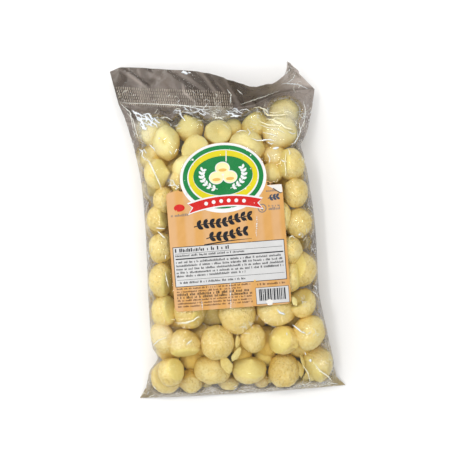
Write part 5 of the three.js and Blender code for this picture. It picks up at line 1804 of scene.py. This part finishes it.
def flat_drawing():
    """The sheet and its print as flat faces, cut along a fine grid; z is the level."""
    flat = bmesh.new()
    names = list(INKS)
    edge = [flat.verts.new((u, v, PAPER)) for u, v in sheet_outline()]
    flat.faces.new(edge).material_index = names.index("orange")
    for ink, level, corners in drawing:
        area = sum(p[0] * q[1] - q[0] * p[1] for p, q in zip(corners, corners[1:] + corners[:1]))
        facing_up = corners if area > 0 else corners[::-1]
        face = flat.faces.new([flat.verts.new((u, v, PAPER + level * LAYER)) for u, v in facing_up])
        face.material_index = names.index(ink)
    bmesh.ops.triangulate(flat, faces=flat.faces[:])
    for axis, (low, high) in enumerate(LABEL_BOX):
        for cut in np.arange(low, high, LABEL_GRID):
            where, way = [0.0, 0.0, 0.0], [0.0, 0.0, 0.0]
            where[axis], way[axis] = cut, 1.0
            everything = flat.verts[:] + flat.edges[:] + flat.faces[:]
            bmesh.ops.bisect_plane(flat, geom=everything, dist=1e-5, plane_co=where, plane_no=way)
    return flat


def add_thickness(flat):
    """Gives the sheet its back and its cut edge."""
    sheet = [face for face in flat.faces if abs(face.calc_center_median().z - PAPER) < LAYER / 2]
    copied = bmesh.ops.duplicate(flat, geom=sheet)["geom"]
    back = [item for item in copied if isinstance(item, bmesh.types.BMFace)]
    for vert in {vert for face in back for vert in face.verts}:
        vert.co.z = 0.0
    rim_edges = [edge for face in sheet for edge in face.edges if len(edge.link_faces) == 1]

    def spot(vert):
        """Where a corner lies, rounded so that the copy's corner above or below it has the same spot."""
        return tuple(round(value, 5) for value in vert.co.xy)

    below = {spot(vert): vert for face in back for vert in face.verts}
    for edge in rim_edges:
        start, end = edge.link_loops[0].vert, edge.link_loops[0].link_loop_next.vert
        side = flat.faces.new([end, start, below[spot(start)], below[spot(end)]])
        side.material_index = list(INKS).index("worn paper")
    bmesh.ops.reverse_faces(flat, faces=back)


label_skin = bpy.data.meshes.new("label_print")
flat_sticker = flat_drawing()
add_thickness(flat_sticker)
flat_sticker.to_mesh(label_skin)
flat_sticker.free()
print(f"flat sticker: {len(label_skin.vertices):,} points")

# %% Sticker: laid down
FLAT_MAP_SIZE = 100  # millimetres for one unit of the flat map
SLOPE_STEP = 0.4


def lay_down(mesh):
    """Lays the flat sticker on the film, with its flat map and normals from the sheet's own slope."""
    places = np.empty(len(mesh.vertices) * 3)
    mesh.vertices.foreach_get("co", places)
    u, v, level = places.reshape(-1, 3).T
    laid = lay_label(u, v, level)
    slope_u = lay_label(u + SLOPE_STEP, v, level) - lay_label(u - SLOPE_STEP, v, level)
    slope_v = lay_label(u, v + SLOPE_STEP, level) - lay_label(u, v - SLOPE_STEP, level)
    out = unit(np.cross(slope_u, slope_v))
    out[level < PAPER / 2] *= -1
    flat_map = mesh.uv_layers.new(name="flat map")
    corner_of = np.empty(len(mesh.loops), int)
    mesh.loops.foreach_get("vertex_index", corner_of)
    map_places = np.stack([u, v], axis=1)[corner_of] / FLAT_MAP_SIZE + 0.5
    flat_map.data.foreach_set("uv", map_places.ravel())
    mesh.vertices.foreach_set("co", ((laid + SHIFT) * MM).ravel())
    mesh.shade_smooth()
    mesh.normals_split_custom_set_from_vertices(out.tolist())
    for name, colour in INKS.items():
        mesh.materials.append(printed(name, colour, striped=name == "orange"))


lay_down(label_skin)
label_print = make_piece("label_print", label_skin)
print(f"label_print: {triangles(label_skin):,} triangles")

# %% [markdown]
# ## Crumbs
# Airy bread sheds crumbs, and they gather in the folded end. A few lumpy grains of a dozen faces each are
# enough, scattered by the same tree over places drawn at random, and kept between the two sheets.


# %% Crumbs
def grain_mesh(seed):
    """A small lumpy grain."""
    points, faces = cube_sphere(2)
    points = points * (0.8 + 0.25 * lumps(points, 1.5, seed))[:, None] * (1, 0.8, 0.6)
    return make_mesh(f"grain {seed}", points, faces, {"base": np.zeros(len(points))})


CRUMBS, GRAINS = 150, 4
CRUMBS_FROM, CRUMBS_UP = -134, 26  # y of the lowest, and how far they spread from there
CRUMB_GAP, CRUMB_ROOM = 2, 1.5  # from the edges, and between the sheets


def crumb_places():
    """Places, turns and sizes of the crumbs: most near the folded end, between the sheets."""
    rng = np.random.default_rng(91)
    places = []
    while len(places) < CRUMBS:
        x, y = rng.uniform(-78, 80), CRUMBS_FROM + abs(rng.normal()) * CRUMBS_UP
        top, under = sample(upper_film, x, y), sample(lower_film, x, y)
        between_edges = along(LEFT_EDGE, y) + CRUMB_GAP < x < along(RIGHT_EDGE, y) - CRUMB_GAP
        inside = between_edges and y > fold_line(x) + CRUMB_GAP
        if inside and top - under > CRUMB_ROOM:
            places.append((x, y, under + (top - under) * rng.uniform(0.25, 0.75)))
    turns, sizes = rng.uniform(0, 6.28, (CRUMBS, 3)), rng.uniform(0.45, 1.25, (CRUMBS, 1))
    return np.array(places), turns, sizes * np.ones(3)


crumb_spots, crumb_turns, crumb_sizes = crumb_places()
crumb_kinds = np.arange(CRUMBS) % GRAINS
grains = [grain_mesh(k) for k in range(GRAINS)]
crumbs = scatter("crumbs", crumb_spots, crumb_kinds, crumb_turns, crumb_sizes, grains, FLAKE_CRUST)

# %% [markdown]
# ## Fitting into the frame
# The solid bag is hidden, because the film stands for it, and the puffs, crumbs and ribs go with it. The
# sticker stands for its own solid. There is one body, so everything rides on it.

# %% Fit into the frame
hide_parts("bag")
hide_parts("label")
for piece, finish in (
    (film, "film"), (seal_ribs, "film"), (upper_puffs, "puffs"), (lower_puffs, "puffs"), (crumbs, "puffs"),
    (flakes, "puffs"), (glints, "film"), (label_print, "label"),
):
    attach(piece, "root")

# %% [markdown]
# ## Table, light and camera
# A plain pale table, one large soft light from the upper left, four thin tube lamps overhead for the film's
# glints, and an even sky. The camera looks straight down, a little turned, from a step ladder's height above
# the bag.


# %% Table and light
def floor_material():
    """A plain pale table top."""
    paint = Finish("pale table")
    colour = paint.mixed(paint.noise(6.0), (0.90, 0.90, 0.90), (0.93, 0.93, 0.93))
    return paint.done(paint.shader("Principled", Base_Color=colour, Roughness=0.9, Specular_IOR_Level=0.1))


FLOOR_HALF, FLOOR_TOP = 3.0, -0.0004
floor_corners = [(FLOOR_HALF * x, FLOOR_HALF * y, FLOOR_TOP) for x, y in ((-1, -1), (1, -1), (1, 1), (-1, 1))]
floor = make_piece("floor", make_mesh("floor", floor_corners, [(0, 1, 2, 3)]), floor_material())
floor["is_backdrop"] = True


DAYLIGHT = (1.0, 0.985, 0.96)
TUBE_LAMPS = [(0.0, 0.46, 4.2), (-0.46, 0.0, 4.2), (0.0, -0.46, 1.6), (0.46, 0.0, 0.5)]  # x, y, power
TUBE_HEIGHT, TUBE_LENGTH, TUBE_WIDTH = 1.3, 1.2, 0.05


def area_light(name, place, size, power):
    """A square light that looks at the bag."""
    light = bpy.data.lights.new(name, "AREA")
    light.size, light.energy, light.color = size, power, DAYLIGHT
    lamp = bpy.data.objects.new(name, light)
    lamp.location = place
    lamp.rotation_euler = (-Vector(place)).to_track_quat("-Z", "Y").to_euler()
    bpy.context.scene.collection.objects.link(lamp)
    return lamp


area_light("window", (-1.7, 1.0, 1.6), size=1.9, power=16.5)
for side, (x, y, power) in enumerate(TUBE_LAMPS):
    tube = area_light(f"tube lamp {side}", (x, y, TUBE_HEIGHT), TUBE_LENGTH, power)
    tube.data.shape, tube.data.size_y = "RECTANGLE", TUBE_WIDTH
    tube.rotation_euler = (0, 0, math.radians(90 * (side % 2)))
world = bpy.data.worlds.new("sky")
world.use_nodes = True
sky = world.node_tree.nodes["Background"].inputs
sky["Color"].default_value, sky["Strength"].default_value = (1.0, 1.0, 1.0, 1), 0.71
bpy.context.scene.world = world
bpy.context.scene.view_settings.view_transform = "Standard"
print("lamps:", ", ".join(light.name for light in bpy.data.lights))

# %% Camera
camera_data = bpy.data.cameras.new("camera")
camera_data.lens, camera_data.sensor_width = 69.7, 36.0
camera = bpy.data.objects.new("camera", camera_data)
camera.location = (-0.22 * MM, 2.09 * MM, 743.6 * MM)
camera.rotation_euler = (0, 0, math.radians(-5.53))
bpy.context.scene.collection.objects.link(camera)
bpy.context.scene.camera = camera
print(f"the camera is {camera.location.z:.3f} m above the table")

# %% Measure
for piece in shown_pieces():
    heights = [corner[2] / MM for corner in piece.bound_box]
    print(f"{piece.name}: from {min(heights):.1f} to {max(heights):.1f} mm high")
